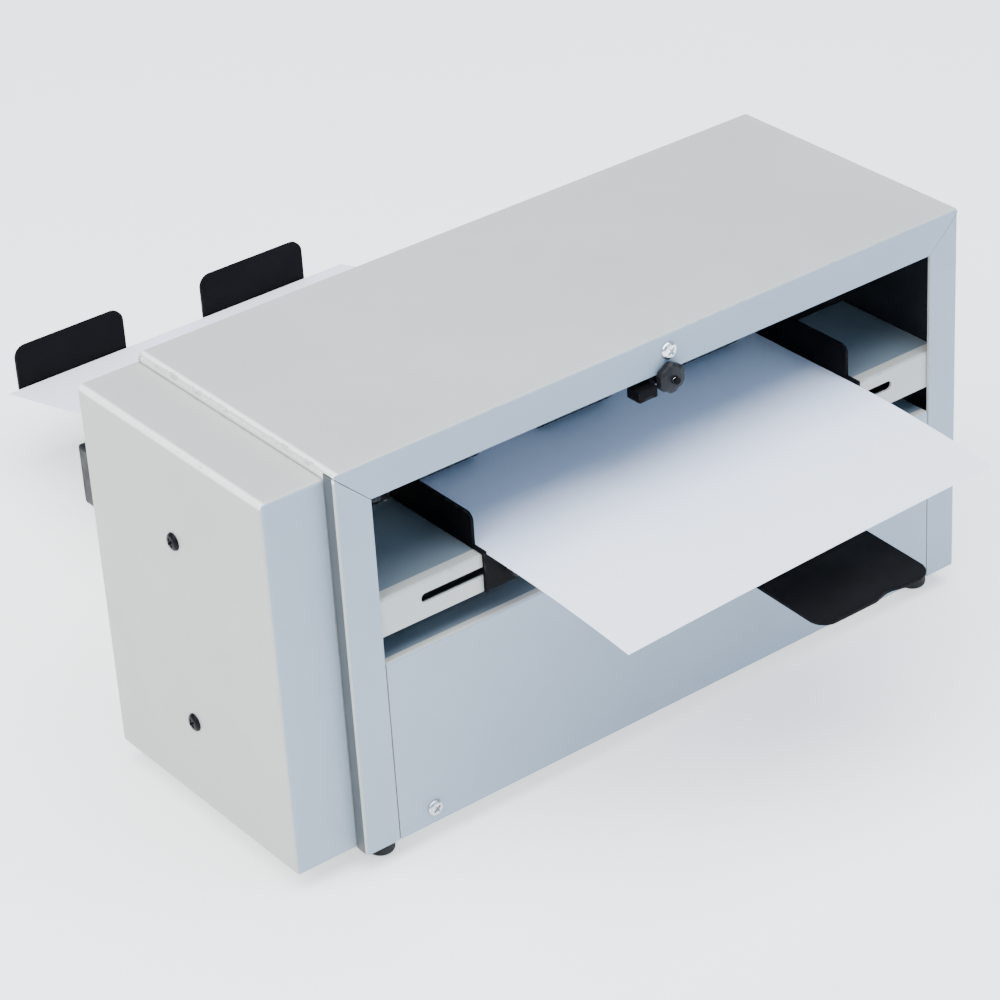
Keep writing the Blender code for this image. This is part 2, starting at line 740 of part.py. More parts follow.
def shafts():
    right_end = BODY_LENGTH - PLATE_INSET + 0.002
    half_roller, half_knife = ROLLER_LENGTH / 2, KNIFE_THICKNESS / 2
    roller_bands = [(x - half_roller, x + half_roller, ROLLER_RADIUS) for x in ROLLER_X]
    knife_bands = [(x - half_knife, x + half_knife, ROLLER_RADIUS) for x in KNIFE_X]
    stacks = (("feed", FEED_Y, roller_bands), ("knife", KNIFE_Y, knife_bands))
    for kind, y, bands in stacks:
        start, profile = shaft_profile(bands, right_end)
        for level, step in (("upper", 1), ("middle", 0), ("lower", -1)):
            z = MIDDLE_SHAFT_Z + step * SHAFT_SPACING
            name = "{}_{}_shaft".format(level, kind)
            turned(name, (start, y, z), "X", profile, STEEL)


def gear_loop(teeth, pitch_radius, phase):
    """Outline of a spur gear with straight-sided teeth; phase turns it, in teeth."""
    module = 2 * pitch_radius / teeth
    outer = pitch_radius + 0.85 * module
    root = pitch_radius - 1.15 * module
    points = []
    for tooth in range(teeth):
        middle = 2 * pi * (tooth + phase) / teeth
        step = 2 * pi / teeth
        for offset, radius in ((-0.31, root), (-0.11, outer), (0.11, outer), (0.31, root)):
            angle = middle + offset * step
            points.append((radius * cos(angle), radius * sin(angle)))
    return points


def gear(name, y, z, phase):
    loops = [gear_loop(GEAR_TEETH, SHAFT_SPACING / 2, phase), circle(SHAFT_RADIUS + GAP, ROUND)]
    return outline(name, (GEAR_X, y, z), "X", loops, GEAR_WIDTH, NYLON)


def gears():
    """Middle gears mesh with the idler between them; upper and lower gears mesh with the middle ones."""
    for kind, y in (("feed", FEED_Y), ("knife", KNIFE_Y)):
        gear("middle_{}_gear".format(kind), y, MIDDLE_SHAFT_Z, 0.0)
        gear("upper_{}_gear".format(kind), y, MIDDLE_SHAFT_Z + SHAFT_SPACING, 0.5)
        gear("lower_{}_gear".format(kind), y, MIDDLE_SHAFT_Z - SHAFT_SPACING, 0.5)
    gear("idler_gear", IDLER_Y, MIDDLE_SHAFT_Z, 0.5)


def idler_shaft():
    """Short shaft through the left plate with the large pulley at its outer end."""
    outer = BELT_X - BELT_WIDTH / 2 - 0.0015
    inner = PLATE_INSET + PLATE_THICKNESS + 0.003
    groove = IDLER_PULLEY_RADIUS
    rim = groove + 0.001
    profile = [
        (0.0, inner - outer),
        (SHAFT_RADIUS, inner - outer),
        (SHAFT_RADIUS, BELT_WIDTH + 0.003),
        (rim, BELT_WIDTH + 0.003),
        (rim, BELT_WIDTH + 0.0020),
        (groove, BELT_WIDTH + 0.0020),
        (groove, 0.0010),
        (rim, 0.0010),
        (rim, 0.0),
        (0.0, 0.0),
    ]
    turned("idler_shaft", (outer, IDLER_Y, MIDDLE_SHAFT_Z), "X", profile, STEEL)


def motor():
    """Motor behind the left inner plate; its shaft carries the small pulley."""
    face = PLATE_INSET + PLATE_THICKNESS + GAP
    length = 0.062
    radius = 0.019
    profile = [
        (0.0, length + 0.004),
        (0.007, length + 0.004),
        (0.007, length),
        (radius - 0.002, length),
        (radius, length - 0.002),
        (radius, 0.002),
        (radius - 0.002, 0.0),
        (0.0085, 0.0),
        (0.0085, -PLATE_THICKNESS),
        (0.0, -PLATE_THICKNESS),
    ]
    body = turned("motor_body", (face, MOTOR_Y, MOTOR_Z), "X", profile, ZINC, steps=24)
    drill(body, (face - 0.004, MOTOR_Y, MOTOR_Z), "X", 0.0025 + GAP, 0.022)
    outer = BELT_X - BELT_WIDTH / 2 - 0.0015
    groove = MOTOR_PULLEY_RADIUS
    rim = groove + 0.0010
    end = face + 0.015
    profile = [
        (0.0, end - outer),
        (0.0025, end - outer),
        (0.0025, BELT_WIDTH + 0.003),
        (rim, BELT_WIDTH + 0.003),
        (rim, BELT_WIDTH + 0.0020),
        (groove, BELT_WIDTH + 0.0020),
        (groove, 0.0010),
        (rim, 0.0010),
        (rim, 0.0),
        (0.0, 0.0),
    ]
    turned("motor_shaft", (outer, MOTOR_Y, MOTOR_Z), "X", profile, STEEL)


def belt_loop(extra):
    """One side of the belt, with the motor at the origin and the idler straight above it."""
    distance = hypot(IDLER_Y - MOTOR_Y, MIDDLE_SHAFT_Z - MOTOR_Z)
    large = IDLER_PULLEY_RADIUS + extra
    small = MOTOR_PULLEY_RADIUS + extra
    lean = asin((large - small) / distance)
    points = []
    steps = 12
    for step in range(steps + 1):
        angle = -lean + (pi + 2 * lean) * step / steps
        points.append((large * cos(angle), distance + large * sin(angle)))
    for step in range(steps + 1):
        angle = pi + lean + (pi - 2 * lean) * step / steps
        points.append((small * cos(angle), small * sin(angle)))
    return points


def drive_belt():
    loops = [belt_loop(0.0016), belt_loop(0.0004)]
    belt = outline("drive_belt", (0.0, 0.0, 0.0), "Z", loops, BELT_WIDTH, RUBBER)
    lean = atan2(IDLER_Y - MOTOR_Y, MIDDLE_SHAFT_Z - MOTOR_Z)
    belt.matrix_world = (
        Matrix.Translation(place(BELT_X, MOTOR_Y, MOTOR_Z)) @ PROFILE_TURN @ Matrix.Rotation(-lean, 4, "Z")
    )


# Electrical parts ------------------------------------------------------------------------------


def mains_inlet():
    """Moulded inlet on the rear of the end cover, with three pins in its recess."""
    inlet = block("mains_inlet", INLET_LOW, INLET_HIGH, PLASTIC)
    bevel(inlet, 0.0015, 2)
    wall = 0.0022
    recess_low = (INLET_LOW[0] + wall, INLET_HIGH[1] - 0.015, INLET_LOW[2] + wall)
    recess_high = (INLET_HIGH[0] - wall, INLET_HIGH[1] + 0.002, INLET_HIGH[2] - wall)
    slot(inlet, recess_low, recess_high)
    middle = (INLET_LOW[0] + INLET_HIGH[0]) / 2
    for x, z in ((middle, -0.005), (middle, 0.0), (middle, 0.005)):
        centre_z = (INLET_LOW[2] + INLET_HIGH[2]) / 2 + z
        pin = block(
            "inlet_pin",
            (x - 0.0018, INLET_HIGH[1] - 0.016, centre_z - 0.0008),
            (x + 0.0018, INLET_HIGH[1] - 0.007, centre_z + 0.0008),
            PLASTIC,
        )
        join(inlet, pin)


def power_switch():
    """Switch frame in the rear of the end cover, with a rocker on a short pivot."""
    frame = block("switch_frame", SWITCH_LOW, SWITCH_HIGH, PLASTIC)
    bevel(frame, 0.0008)
    wall = 0.0020
    pocket_low = (SWITCH_LOW[0] + wall, SWITCH_HIGH[1] - 0.008, SWITCH_LOW[2] + wall)
    pocket_high = (SWITCH_HIGH[0] - wall, SWITCH_HIGH[1] + 0.002, SWITCH_HIGH[2] - wall)
    slot(frame, pocket_low, pocket_high)
    middle_z = (SWITCH_LOW[2] + SWITCH_HIGH[2]) / 2
    half = (SWITCH_HIGH[2] - SWITCH_LOW[2]) / 2 - wall - 0.0018
    base = SWITCH_HIGH[1] - 0.0045
    tilt = tan(radians(ROCKER_TILT))
    points = [
        (-half, base - half * tilt + 0.0010),
        (0.0, base - 0.0030),
        (half, base + half * tilt - 0.0010),
        (half, base + 0.0052 + half * tilt),
        (0.0, base + 0.0040),
        (-half, base + 0.0052 - half * tilt),
    ]
    width = SWITCH_HIGH[0] - SWITCH_LOW[0] - 2 * wall - 0.0012
    rocker = outline("switch_rocker", (0.0, 0.0, 0.0), "Z", [points], width, PLASTIC)
    middle_x = (SWITCH_LOW[0] + SWITCH_HIGH[0]) / 2
    across = Matrix(((0, 0, 1, 0), (0, 1, 0, 0), (1, 0, 0, 0), (0, 0, 0, 1)))
    rocker.matrix_world = Matrix.Translation(place(middle_x, 0.0, middle_z)) @ across


def motor_capacitor():
    """Capacitor of the motor, lying on the base pan."""
    radius = 0.011
    length = 0.045
    rest = SHEET_STEEL + GAP + radius
    profile = [
        (0.0, length),
        (radius - 0.001, length),
        (radius, length - 0.001),
        (radius, 0.001),
        (radius - 0.001, 0.0),
        (0.0, 0.0),
    ]
    turned("motor_capacitor", (0.130, 0.100, rest), "X", profile, PLASTIC)


# Trays and sheets ------------------------------------------------------------------------------


def tray_height(y):
    """Height of the underside of the caught sheet above the housing's base, at y."""
    return TRAY_END_HEIGHT + (TRAY_END - y) * TRAY_SLOPE


def rear_tray():
    """Two fingers that carry the caught sheet, each folded up into a stop, on a rear bracket."""
    start = BODY_DEPTH + 0.004
    half_width = FINGER_WIDTH / 2
    for label, x in (("left", FINGER_LEFT), ("right", FINGER_RIGHT)):
        top = TRAY_END_HEIGHT + STOP_HEIGHT
        end = TRAY_END + GAP
        name = "rear_finger_" + label
        strip = folded_sheet(
            name,
            [
                ((x, start, tray_height(start) - GAP), (x + FINGER_WIDTH, start, tray_height(start) - GAP)),
                ((x, end, tray_height(end) - GAP), (x + FINGER_WIDTH, end, tray_height(end) - GAP)),
                ((x, end, top), (x + FINGER_WIDTH, end, top)),
            ],
            BLACK_STEEL,
            thickness=STOP_THICKNESS,
            radius=0.0,
        )
        round_stop_corners(strip, x + half_width)


def round_stop_corners(finger, middle):
    """Round the two free corners of an upturned stop."""
    radius = 0.007
    for side in (-1, 1):
        corner_x = middle + side * FINGER_WIDTH / 2
        top = TRAY_END_HEIGHT + STOP_HEIGHT
        reach = 0.004
        points = [(side * reach, reach)]
        points.append((side * reach, -radius))
        for step in range(5):
            angle = 0.5 * pi * step / 4
            points.append((side * (radius * cos(angle) - radius), radius * sin(angle) - radius))
        points.append((-side * radius, reach))
        if side > 0:
            points.reverse()
        cutter = outline("corner", (0.0, 0.0, 0.0), "Z", [points], 0.012, BLACK_STEEL)
        upright = Matrix(((1, 0, 0, 0), (0, 0, -1, 0), (0, 1, 0, 0), (0, 0, 0, 1)))
        cutter.matrix_world = Matrix.Translation(place(corner_x, TRAY_END, top)) @ upright
        boolean(finger, as_mesh(cutter))


def tray_bracket():
    """Bracket on the rear panel, with a sloping shelf under the fingers."""
    left, right = 0.070, 0.280
    wall = BODY_DEPTH + GAP
    depth = 0.030
    drop = STOP_THICKNESS + 3 * GAP
    path = [(wall, 0.050)]
    path.extend((y, tray_height(y) - drop) for y in (wall, wall + depth))
    rows = [((left, y, z), (right, y, z)) for y, z in path]
    folded_sheet("tray_bracket", rows, BLACK_STEEL, thickness=0.0015, radius=0.0)


def front_catch_plate():
    """Flat plate in the lower slot that catches the cut cards in front."""
    low_x, high_x = CATCH_X
    radius = 0.012
    start = 0.030
    notch_x = 0.213
    points = [(low_x, start), (low_x, radius - CATCH_REACH)]
    for step in range(1, 6):
        angle = pi + 0.5 * pi * step / 6
        points.append((low_x + radius + radius * cos(angle), radius - CATCH_REACH + radius * sin(angle)))
    points.append((low_x + radius, -CATCH_REACH))
    points.append((notch_x - 0.010, -CATCH_REACH))
    points.append((notch_x, 0.0022 - CATCH_REACH))
    points.append((notch_x + 0.009, -CATCH_REACH))
    points.append((high_x - radius, -CATCH_REACH))
    for step in range(1, 6):
        angle = 1.5 * pi + 0.5 * pi * step / 6
        points.append((high_x - radius + radius * cos(angle), radius - CATCH_REACH + radius * sin(angle)))
    points.append((high_x, radius - CATCH_REACH))
    points.append((high_x, start))
    plate = outline("front_catch_plate", (0.0, 0.0, 0.0), "Z", [points], 0.0020, BLACK_STEEL)
    slope = Matrix.Rotation(CATCH_TILT, 4, "X")
    plate.matrix_world = Matrix.Translation(place(0.0, 0.0, CATCH_Z)) @ slope


def stock_strip(name, rows):
    """A thin sheet of card from rows of its two side points."""
    return folded_sheet(name, rows, CARD, thickness=STOCK_THICKNESS, radius=0.0)


def sheets():
    """The sheet being fed, flat on the table and hanging in front, and the sheet that was caught."""
    left, right = STOCK_LEFT, STOCK_LEFT + STOCK_WIDTH
    top = TABLE_TOP + GAP + STOCK_THICKNESS
    rear = STOCK_LENGTH - STOCK_OVERHANG
    path = [(-STOCK_OVERHANG, top - STOCK_DROOP), (-0.030, top - 0.23 * STOCK_DROOP), (0.002, top), (rear, top)]
    stock_strip("feed_sheet", [((left, y, z), (right, y, z)) for y, z in path])
    length = STOCK_LENGTH / (1 + TRAY_SLOPE ** 2) ** 0.5
    lift = STOCK_THICKNESS + GAP
    ends = [TRAY_END - GAP - length, TRAY_END - GAP]
    rows = [((left, y, tray_height(y) + lift), (right, y, tray_height(y) + lift)) for y in ends]
    stock_strip("caught_sheet", rows)


def main():
    clear_scene()
    base_pan()
    side_panels()
    top_cover()
    front_panel()
    rear_panel()
    end_cover()
    cover_posts()
    feet()
    frame_plates()
    tie_rods()
    feed_table()
    side_guides()
    hold_down()
    shafts()
    gears()
    idler_shaft()
    motor()
    drive_belt()
    mains_inlet()
    power_switch()
    motor_capacitor()
    rear_tray()
    tray_bracket()
    front_catch_plate()
    sheets()


main()
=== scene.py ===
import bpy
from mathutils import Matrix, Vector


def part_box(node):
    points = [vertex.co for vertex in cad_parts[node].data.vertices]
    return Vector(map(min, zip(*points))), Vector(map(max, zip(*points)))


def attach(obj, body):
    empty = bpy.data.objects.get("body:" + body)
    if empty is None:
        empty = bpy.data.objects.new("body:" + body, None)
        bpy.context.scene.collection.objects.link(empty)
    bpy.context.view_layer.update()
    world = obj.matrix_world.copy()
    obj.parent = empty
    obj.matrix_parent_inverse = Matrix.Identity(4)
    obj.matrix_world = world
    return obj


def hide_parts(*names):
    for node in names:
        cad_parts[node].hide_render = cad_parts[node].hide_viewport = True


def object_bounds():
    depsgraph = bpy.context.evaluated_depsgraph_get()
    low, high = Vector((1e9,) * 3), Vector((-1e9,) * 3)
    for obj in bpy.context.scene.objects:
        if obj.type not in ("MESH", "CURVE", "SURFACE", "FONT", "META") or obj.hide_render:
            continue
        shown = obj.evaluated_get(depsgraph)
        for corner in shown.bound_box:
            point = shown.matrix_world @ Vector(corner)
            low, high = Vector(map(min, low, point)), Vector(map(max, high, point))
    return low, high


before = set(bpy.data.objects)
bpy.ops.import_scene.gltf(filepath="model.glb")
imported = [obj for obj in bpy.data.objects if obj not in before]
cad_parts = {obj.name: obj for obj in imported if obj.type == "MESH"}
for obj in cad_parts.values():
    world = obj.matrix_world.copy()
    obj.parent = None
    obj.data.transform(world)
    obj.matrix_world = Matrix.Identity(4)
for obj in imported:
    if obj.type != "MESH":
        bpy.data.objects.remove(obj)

"""Looks of the desktop sheet machine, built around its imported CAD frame.

Lengths are in metres. The functions take housing coordinates: x from the housing's left side, y
from its front face towards the rear, z from its underside. CORNER, which comes from the frame,
moves them into the frame's own coordinates.
"""
from math import atan2, cos, pi, radians, sin, tan

import bmesh
import bpy
from mathutils import Matrix, Vector

CAD_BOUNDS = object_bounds()
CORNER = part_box("side_panel_left")[0]
COLLECTION = bpy.context.scene.collection
MM = 0.001

# Sizes taken from the frame, in housing coordinates


def housing_box(node):
    low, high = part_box(node)
    return low - CORNER, high - CORNER


LENGTH = housing_box("side_panel_right")[1].x
DEPTH = housing_box("side_panel_left")[1].y
HEIGHT = housing_box("top_cover")[1].z
FLOOR_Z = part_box("foot_front_left")[0].z
COVER_LOW, COVER_HIGH = housing_box("end_cover")
TABLE_LOW, TABLE_HIGH = housing_box("feed_table")
PANEL_TOP = housing_box("front_panel")[1].z
REAR_TOP = housing_box("rear_panel")[1].z

# Sizes that the frame's boxes don't give

BORDER = 18.0 * MM  # width of the front border and the jambs
STEEL = 1.5 * MM
FOLD = 1.6 * MM  # outer bend radius of the sheet steel
GAP = 0.3 * MM
WALL_TOP = HEIGHT - STEEL - GAP
REAR_FLANGE_BOTTOM = 136.0 * MM
REAR_PANEL_FOLD = 5.0 * MM
DECK_START = 4.0 * MM  # where the front panel's top turns from putty to the dark blue-grey painted shade
COVER_EDGE = 2.1 * MM
TABLE_STEEL = 1.2 * MM
TABLE_LIP = 8.0 * MM  # where the feed table turns from putty to the dark blue-grey painted shade
SLOT_Z = 114.6 * MM
SLOT_HEIGHT = 4.6 * MM
SLOT_END = 40.0 * MM
GUIDE_FRONT = 8.0 * MM
GUIDE_FOOT = 27.0 * MM
GUIDE_KNOB = 14.0 * MM
GUIDE_CORNER = 2.5 * MM
GUIDE_TOP_CORNER = 4.0 * MM
LEVER_X = 177.5 * MM
LEVER_Z = 172.0 * MM
TRAY_SLOPE = 0.245
TRAY_END = 421.0 * MM
TRAY_END_HEIGHT = 31.0 * MM
FINGER_STEEL = 2.0 * MM
FINGER_FOLD = 2.6 * MM
STOP_HEIGHT = 24.5 * MM
STOP_CORNER = 7.0 * MM
CATCH_Z = 97.0 * MM  # middle of the catch plate at the front face
CATCH_TILT = 0.040
CATCH_STEEL = 2.0 * MM
CATCH_CORNER = 8.5 * MM
NOTCH_X = 213.0 * MM
NOTCH_WIDTH = 22.0 * MM
NOTCH_DEPTH = 2.2 * MM
CARD_STOCK = 0.3 * MM
SHAFT_RADIUS = 4.0 * MM
ROLLER_X = (100.0 * MM, 177.0 * MM, 254.0 * MM)
ROLLER_LENGTH = 40.0 * MM
ROLLER_GROOVES = 8
COLLAR_LENGTH = 3.5 * MM
COLLAR_RADIUS = 6.8 * MM
KNIFE_X = (80.0 * MM, 131.5 * MM, 183.0 * MM, 234.5 * MM, 286.0 * MM)
KNIFE_WIDTH = 2.0 * MM
KNIFE_BEVEL = 1.6 * MM
HUB_LENGTH = 6.0 * MM
HUB_RADIUS = 7.2 * MM
SCREW_HEAD = 2.0 * MM
SCREW_SHANK = 5.0 * MM
FRONT_FACING = -0.70  # normals with less y than this look to the front and get the painted front shade


def at(x, y, z):
    """Position in the frame of a point in housing coordinates."""
    return Vector((x, y, z)) + CORNER


# Node materials ---------------------------------------------------------------------------------


class Nodes:
    """Short calls for building one material's node tree."""

    def __init__(self, name):
        self.material = bpy.data.materials.new(name)
        self.material.use_nodes = True
        self.tree = self.material.node_tree
        self.shader = self.tree.nodes["Principled BSDF"]
        self.place = self.tree.nodes.new("ShaderNodeTexCoord").outputs["Object"]

    def link(self, value, socket):
        """Join a node's output to a socket, or set the socket to a plain value."""
        if isinstance(value, bpy.types.NodeSocket):
            self.tree.links.new(value, socket)
        else:
            socket.default_value = value

    def math(self, operation, first, second=0.0):
        node = self.tree.nodes.new("ShaderNodeMath")
        node.operation = operation
        self.link(first, node.inputs[0])
        self.link(second, node.inputs[1])
        return node.outputs[0]

    def stretch(self, scale):
        node = self.tree.nodes.new("ShaderNodeMapping")
        node.inputs["Scale"].default_value = scale
        self.link(self.place, node.inputs["Vector"])
        return node.outputs[0]

    def noise(self, scale, detail=2.0, rough=0.5, source=None, distortion=0.0):
        node = self.tree.nodes.new("ShaderNodeTexNoise")
        node.inputs["Scale"].default_value = scale
        node.inputs["Detail"].default_value = detail
        node.inputs["Roughness"].default_value = rough
        node.inputs["Distortion"].default_value = distortion
        self.link(source or self.place, node.inputs["Vector"])
        return node.outputs["Fac"]

    def voronoi(self, scale, feature="F1"):
        node = self.tree.nodes.new("ShaderNodeTexVoronoi")
        node.feature = feature
        node.inputs["Scale"].default_value = scale
        self.link(self.place, node.inputs["Vector"])
        return node.outputs["Distance"]

    def span(self, value, low, high, to_low=0.0, to_high=1.0):
        """Smooth step of a value from one range to another."""
        node = self.tree.nodes.new("ShaderNodeMapRange")
        node.interpolation_type = "SMOOTHSTEP"
        self.link(value, node.inputs["Value"])
        node.inputs["From Min"].default_value = low
        node.inputs["From Max"].default_value = high
        node.inputs["To Min"].default_value = to_low
        node.inputs["To Max"].default_value = to_high
        return node.outputs[0]

    def mix(self, amount, first, second):
        node = self.tree.nodes.new("ShaderNodeMix")
        node.data_type = "RGBA"
        self.link(amount, node.inputs["Factor"])
        for value, socket in ((first, node.inputs["A"]), (second, node.inputs["B"])):
            self.link(value if isinstance(value, bpy.types.NodeSocket) else (*value, 1.0), socket)
        return node.outputs["Result"]

    def bump(self, height, distance, strength=1.0, normal=None):
        node = self.tree.nodes.new("ShaderNodeBump")
        node.inputs["Strength"].default_value = strength
        node.inputs["Distance"].default_value = distance
        self.link(height, node.inputs["Height"])
        if normal is not None:
            self.link(normal, node.inputs["Normal"])
        return node.outputs[0]

    def split(self, vector):
        node = self.tree.nodes.new("ShaderNodeSeparateXYZ")
        self.link(vector, node.inputs[0])
        return node.outputs["X"], node.outputs["Y"], node.outputs["Z"]

    def vector(self, operation, first, second):
        node = self.tree.nodes.new("ShaderNodeVectorMath")
        node.operation = operation
        self.link(first, node.inputs[0])
        self.link(second, node.inputs[1])
        return node.outputs[0]

    def edge_distance(self, low, high):
        """Distance to the nearest edge of a box: the middle one of the three face distances."""
        near = self.vector("SUBTRACT", self.place, low)
        far = self.vector("SUBTRACT", high, self.place)
        x, y, z = self.split(self.vector("MINIMUM", near, far))
        lesser = self.math("MINIMUM", x, y)
        greater = self.math("MAXIMUM", x, y)
        return self.math("MAXIMUM", lesser, self.math("MINIMUM", greater, z))

    def set(self, name, value):
        self.link(value, self.shader.inputs[name])


def tinted(colour, factor):
    return tuple(min(1.0, value * factor) for value in colour)


def paint(name, colour, box, gloss=0.42, wear=0.7, bare=(0.33, 0.33, 0.325), polished=0.0):
    """Stoved satin paint on steel: fine orange peel, mottling, a painted highlight that lightens it
    towards its edges, and worn edges.

    Where the last argument is above 0, a pale strip along the upper left edge of the box is a painted
    highlight.
    """
    n = Nodes(name)
    mottle = n.noise(9.0, 4.0, 0.6)
    cloud = n.noise(42.0, 3.0, 0.55)
    speck = n.noise(1900.0, 2.0, 0.6)
    shade = n.mix(n.span(mottle, 0.3, 0.7), tinted(colour, 0.955), tinted(colour, 1.03))
    shade = n.mix(n.span(speck, 0.42, 0.66, 0.0, 0.22), shade, tinted(colour, 0.86))
    smudge = n.span(n.noise(16.0, 5.0, 0.62, distortion=0.6), 0.56, 0.78, 0.0, 0.16)
    shade = n.mix(smudge, shade, (colour[0] * 0.80, colour[1] * 0.78, colour[2] * 0.73))
    distance = n.edge_distance(*box)
    ragged = n.math("ADD", distance, n.span(n.noise(170.0, 4.0, 0.65), 0.25, 0.75, -0.0011, 0.0013))
    # Lighter paint within 12 mm of every edge: a painted highlight along the edges.
    dust_and_sheen = n.span(distance, 0.0, 0.012, 0.16, 0.0)
    shade = n.mix(dust_and_sheen, shade, tinted(colour, 1.10))
    # Pale strip along the box's upper left edge: a painted highlight.
    if polished:
        left = n.split(n.vector("SUBTRACT", n.place, box[0]))[0]
        top = n.split(n.vector("SUBTRACT", box[1], n.place))[2]
        top_left_highlight_mask = n.span(n.math("MAXIMUM", left, top), 0.0013, 0.0032, polished, 0.0)
        shade = n.mix(top_left_highlight_mask, shade, (0.93, 0.93, 0.90))
    chips = n.math("MULTIPLY", n.span(ragged, -0.0002, 0.0003, 1.0, 0.0), 0.55 * wear)
    shade = n.mix(chips, shade, bare)
    scratch = n.noise(26.0, 2.0, 0.5, n.stretch((1.0, 9.0, 34.0)), 0.3)
    scuff = n.span(n.math("ABSOLUTE", n.math("SUBTRACT", scratch, 0.5)), 0.0, 0.0035, 0.10 * wear, 0.0)
    shade = n.mix(scuff, shade, tinted(colour, 1.16))
    n.set("Base Color", shade)
    roughness = n.span(cloud, 0.3, 0.75, gloss - 0.045, gloss + 0.07)
    roughness = n.math("ADD", roughness, n.math("MULTIPLY", smudge, 0.5))
    n.set("Roughness", n.math("SUBTRACT", roughness, n.math("MULTIPLY", chips, 0.12)))
    n.set("Metallic", n.math("MULTIPLY", chips, 0.7))
    n.set("Specular IOR Level", 0.5)
    n.set("Coat Weight", 0.08)
    n.set("Coat Roughness", 0.25)
    peel = n.bump(n.noise(1300.0, 2.0, 0.5), 0.00003, 0.32)
    n.set("Normal", n.bump(n.noise(24.0, 2.0, 0.4), 0.0009, 0.10, peel))
    return n.material


def powder_coat(name, box, colour=(0.0016, 0.0016, 0.0022)):
    """Black textured powder coat, rubbed grey along its edges."""
    n = Nodes(name)
    grain = n.voronoi(1500.0, "SMOOTH_F1")
    patch = n.noise(30.0, 4.0, 0.6)
    shade = n.mix(n.span(patch, 0.3, 0.72), colour, tinted(colour, 1.7))
    wander = n.span(n.noise(240.0, 4.0, 0.6), 0.3, 0.7, -0.0009, 0.0009)
    ragged = n.math("ADD", n.edge_distance(*box), wander)
    rub = n.span(ragged, -0.0003, 0.0004, 0.55, 0.0)
    shade = n.mix(rub, shade, (0.032, 0.032, 0.035))
    line = n.noise(30.0, 2.0, 0.5, n.stretch((9.0, 1.0, 14.0)), 0.2)
    scuff = n.span(n.math("ABSOLUTE", n.math("SUBTRACT", line, 0.5)), 0.0, 0.006, 0.35, 0.0)
    shade = n.mix(scuff, shade, (0.009, 0.009, 0.010))
    n.set("Base Color", shade)
    n.set("Roughness", n.span(n.noise(60.0, 3.0), 0.25, 0.75, 0.54, 0.70))
    n.set("Metallic", n.math("MULTIPLY", rub, 0.5))
    n.set("Specular IOR Level", 0.07)
    n.set("Normal", n.bump(grain, 0.00006, 0.45))
    return n.material


def brushed(name, colour, roughness, along):
    """Ground or turned steel; along is the mapping scale, small in the direction of the marks."""
    n = Nodes(name)
    marks_per_metre = 2600.0
    lines = n.noise(1.0, 3.0, 0.7, n.stretch(tuple(marks_per_metre * value for value in along)))
    stain = n.noise(55.0, 4.0, 0.6)
    stained = (colour[0] * 0.62, colour[1] * 0.58, colour[2] * 0.52)
    shade = n.mix(n.span(lines, 0.25, 0.75), tinted(colour, 0.78), tinted(colour, 1.12))
    shade = n.mix(n.span(stain, 0.52, 0.8, 0.0, 0.4), shade, stained)
    n.set("Base Color", shade)
    n.set("Metallic", 1.0)
    n.set("Roughness", n.math("ADD", n.span(lines, 0.2, 0.8, roughness - 0.07, roughness + 0.10),
                              n.span(stain, 0.5, 0.8, 0.0, 0.15)))
    n.set("Normal", n.bump(lines, 0.00001, 0.35))
    return n.material


def zinc(name):
    """Dull zinc plate with a faint spangle and white bloom."""
    n = Nodes(name)
    spangle = n.voronoi(260.0)
    bloom = n.noise(38.0, 5.0, 0.62)
    base = (0.30, 0.31, 0.33)
    shade = n.mix(n.span(spangle, 0.0, 0.9), tinted(base, 0.84), tinted(base, 1.14))
    shade = n.mix(n.span(bloom, 0.5, 0.8, 0.0, 0.5), shade, (0.42, 0.42, 0.41))
    n.set("Base Color", shade)
    n.set("Metallic", n.span(bloom, 0.4, 0.8, 0.95, 0.75))
    n.set("Roughness", n.span(n.noise(90.0, 3.0), 0.3, 0.7, 0.34, 0.50))
    n.set("Normal", n.bump(n.noise(700.0, 2.0), 0.00002, 0.3))
    return n.material


def chrome(name):
    """Polished chrome under a thin uneven haze."""
    n = Nodes(name)
    haze = n.noise(320.0, 4.0, 0.6)
    n.set("Base Color", n.mix(n.span(haze, 0.35, 0.75), (0.83, 0.83, 0.84), (0.66, 0.66, 0.68)))
    n.set("Metallic", 1.0)
    n.set("Roughness", n.span(haze, 0.3, 0.8, 0.10, 0.24))
    n.set("Normal", n.bump(haze, 0.00001, 0.2))
    return n.material


def plastic(name, colour, gloss=0.42, grain=1600.0):
    """Moulded plastic with a fine spark-eroded texture and a little dust."""
    n = Nodes(name)
    patch = n.noise(70.0, 4.0, 0.6)
    shade = n.mix(n.span(patch, 0.3, 0.7), tinted(colour, 0.85), tinted(colour, 1.2))
    dust_and_sheen = n.span(n.noise(210.0, 5.0, 0.7), 0.56, 0.75, 0.0, 0.048)
    shade = n.mix(dust_and_sheen, shade, (0.20, 0.20, 0.20))
    n.set("Base Color", shade)
    n.set("Specular IOR Level", 0.22)
    n.set("Roughness", n.span(n.noise(120.0, 3.0), 0.3, 0.7, gloss - 0.05, gloss + 0.12))
    n.set("Normal", n.bump(n.voronoi(grain, "SMOOTH_F1"), 0.00004, 0.35))
    return n.material


def rubber(name, colour=(0.005, 0.005, 0.0055), dusty=0.10):
    """Matt rubber with patches of dust."""
    n = Nodes(name)
    patch = n.noise(130.0, 5.0, 0.65)
    shade = n.mix(n.span(patch, 0.3, 0.75), colour, tinted(colour, 2.0))
    shade = n.mix(n.span(n.noise(45.0, 4.0), 0.5, 0.8, 0.0, dusty), shade, (0.14, 0.135, 0.13))
    n.set("Base Color", shade)
    n.set("Roughness", n.span(patch, 0.2, 0.8, 0.62, 0.85))
    n.set("Specular IOR Level", 0.35)
    n.set("Normal", n.bump(n.noise(900.0, 3.0), 0.00006, 0.5))
    return n.material


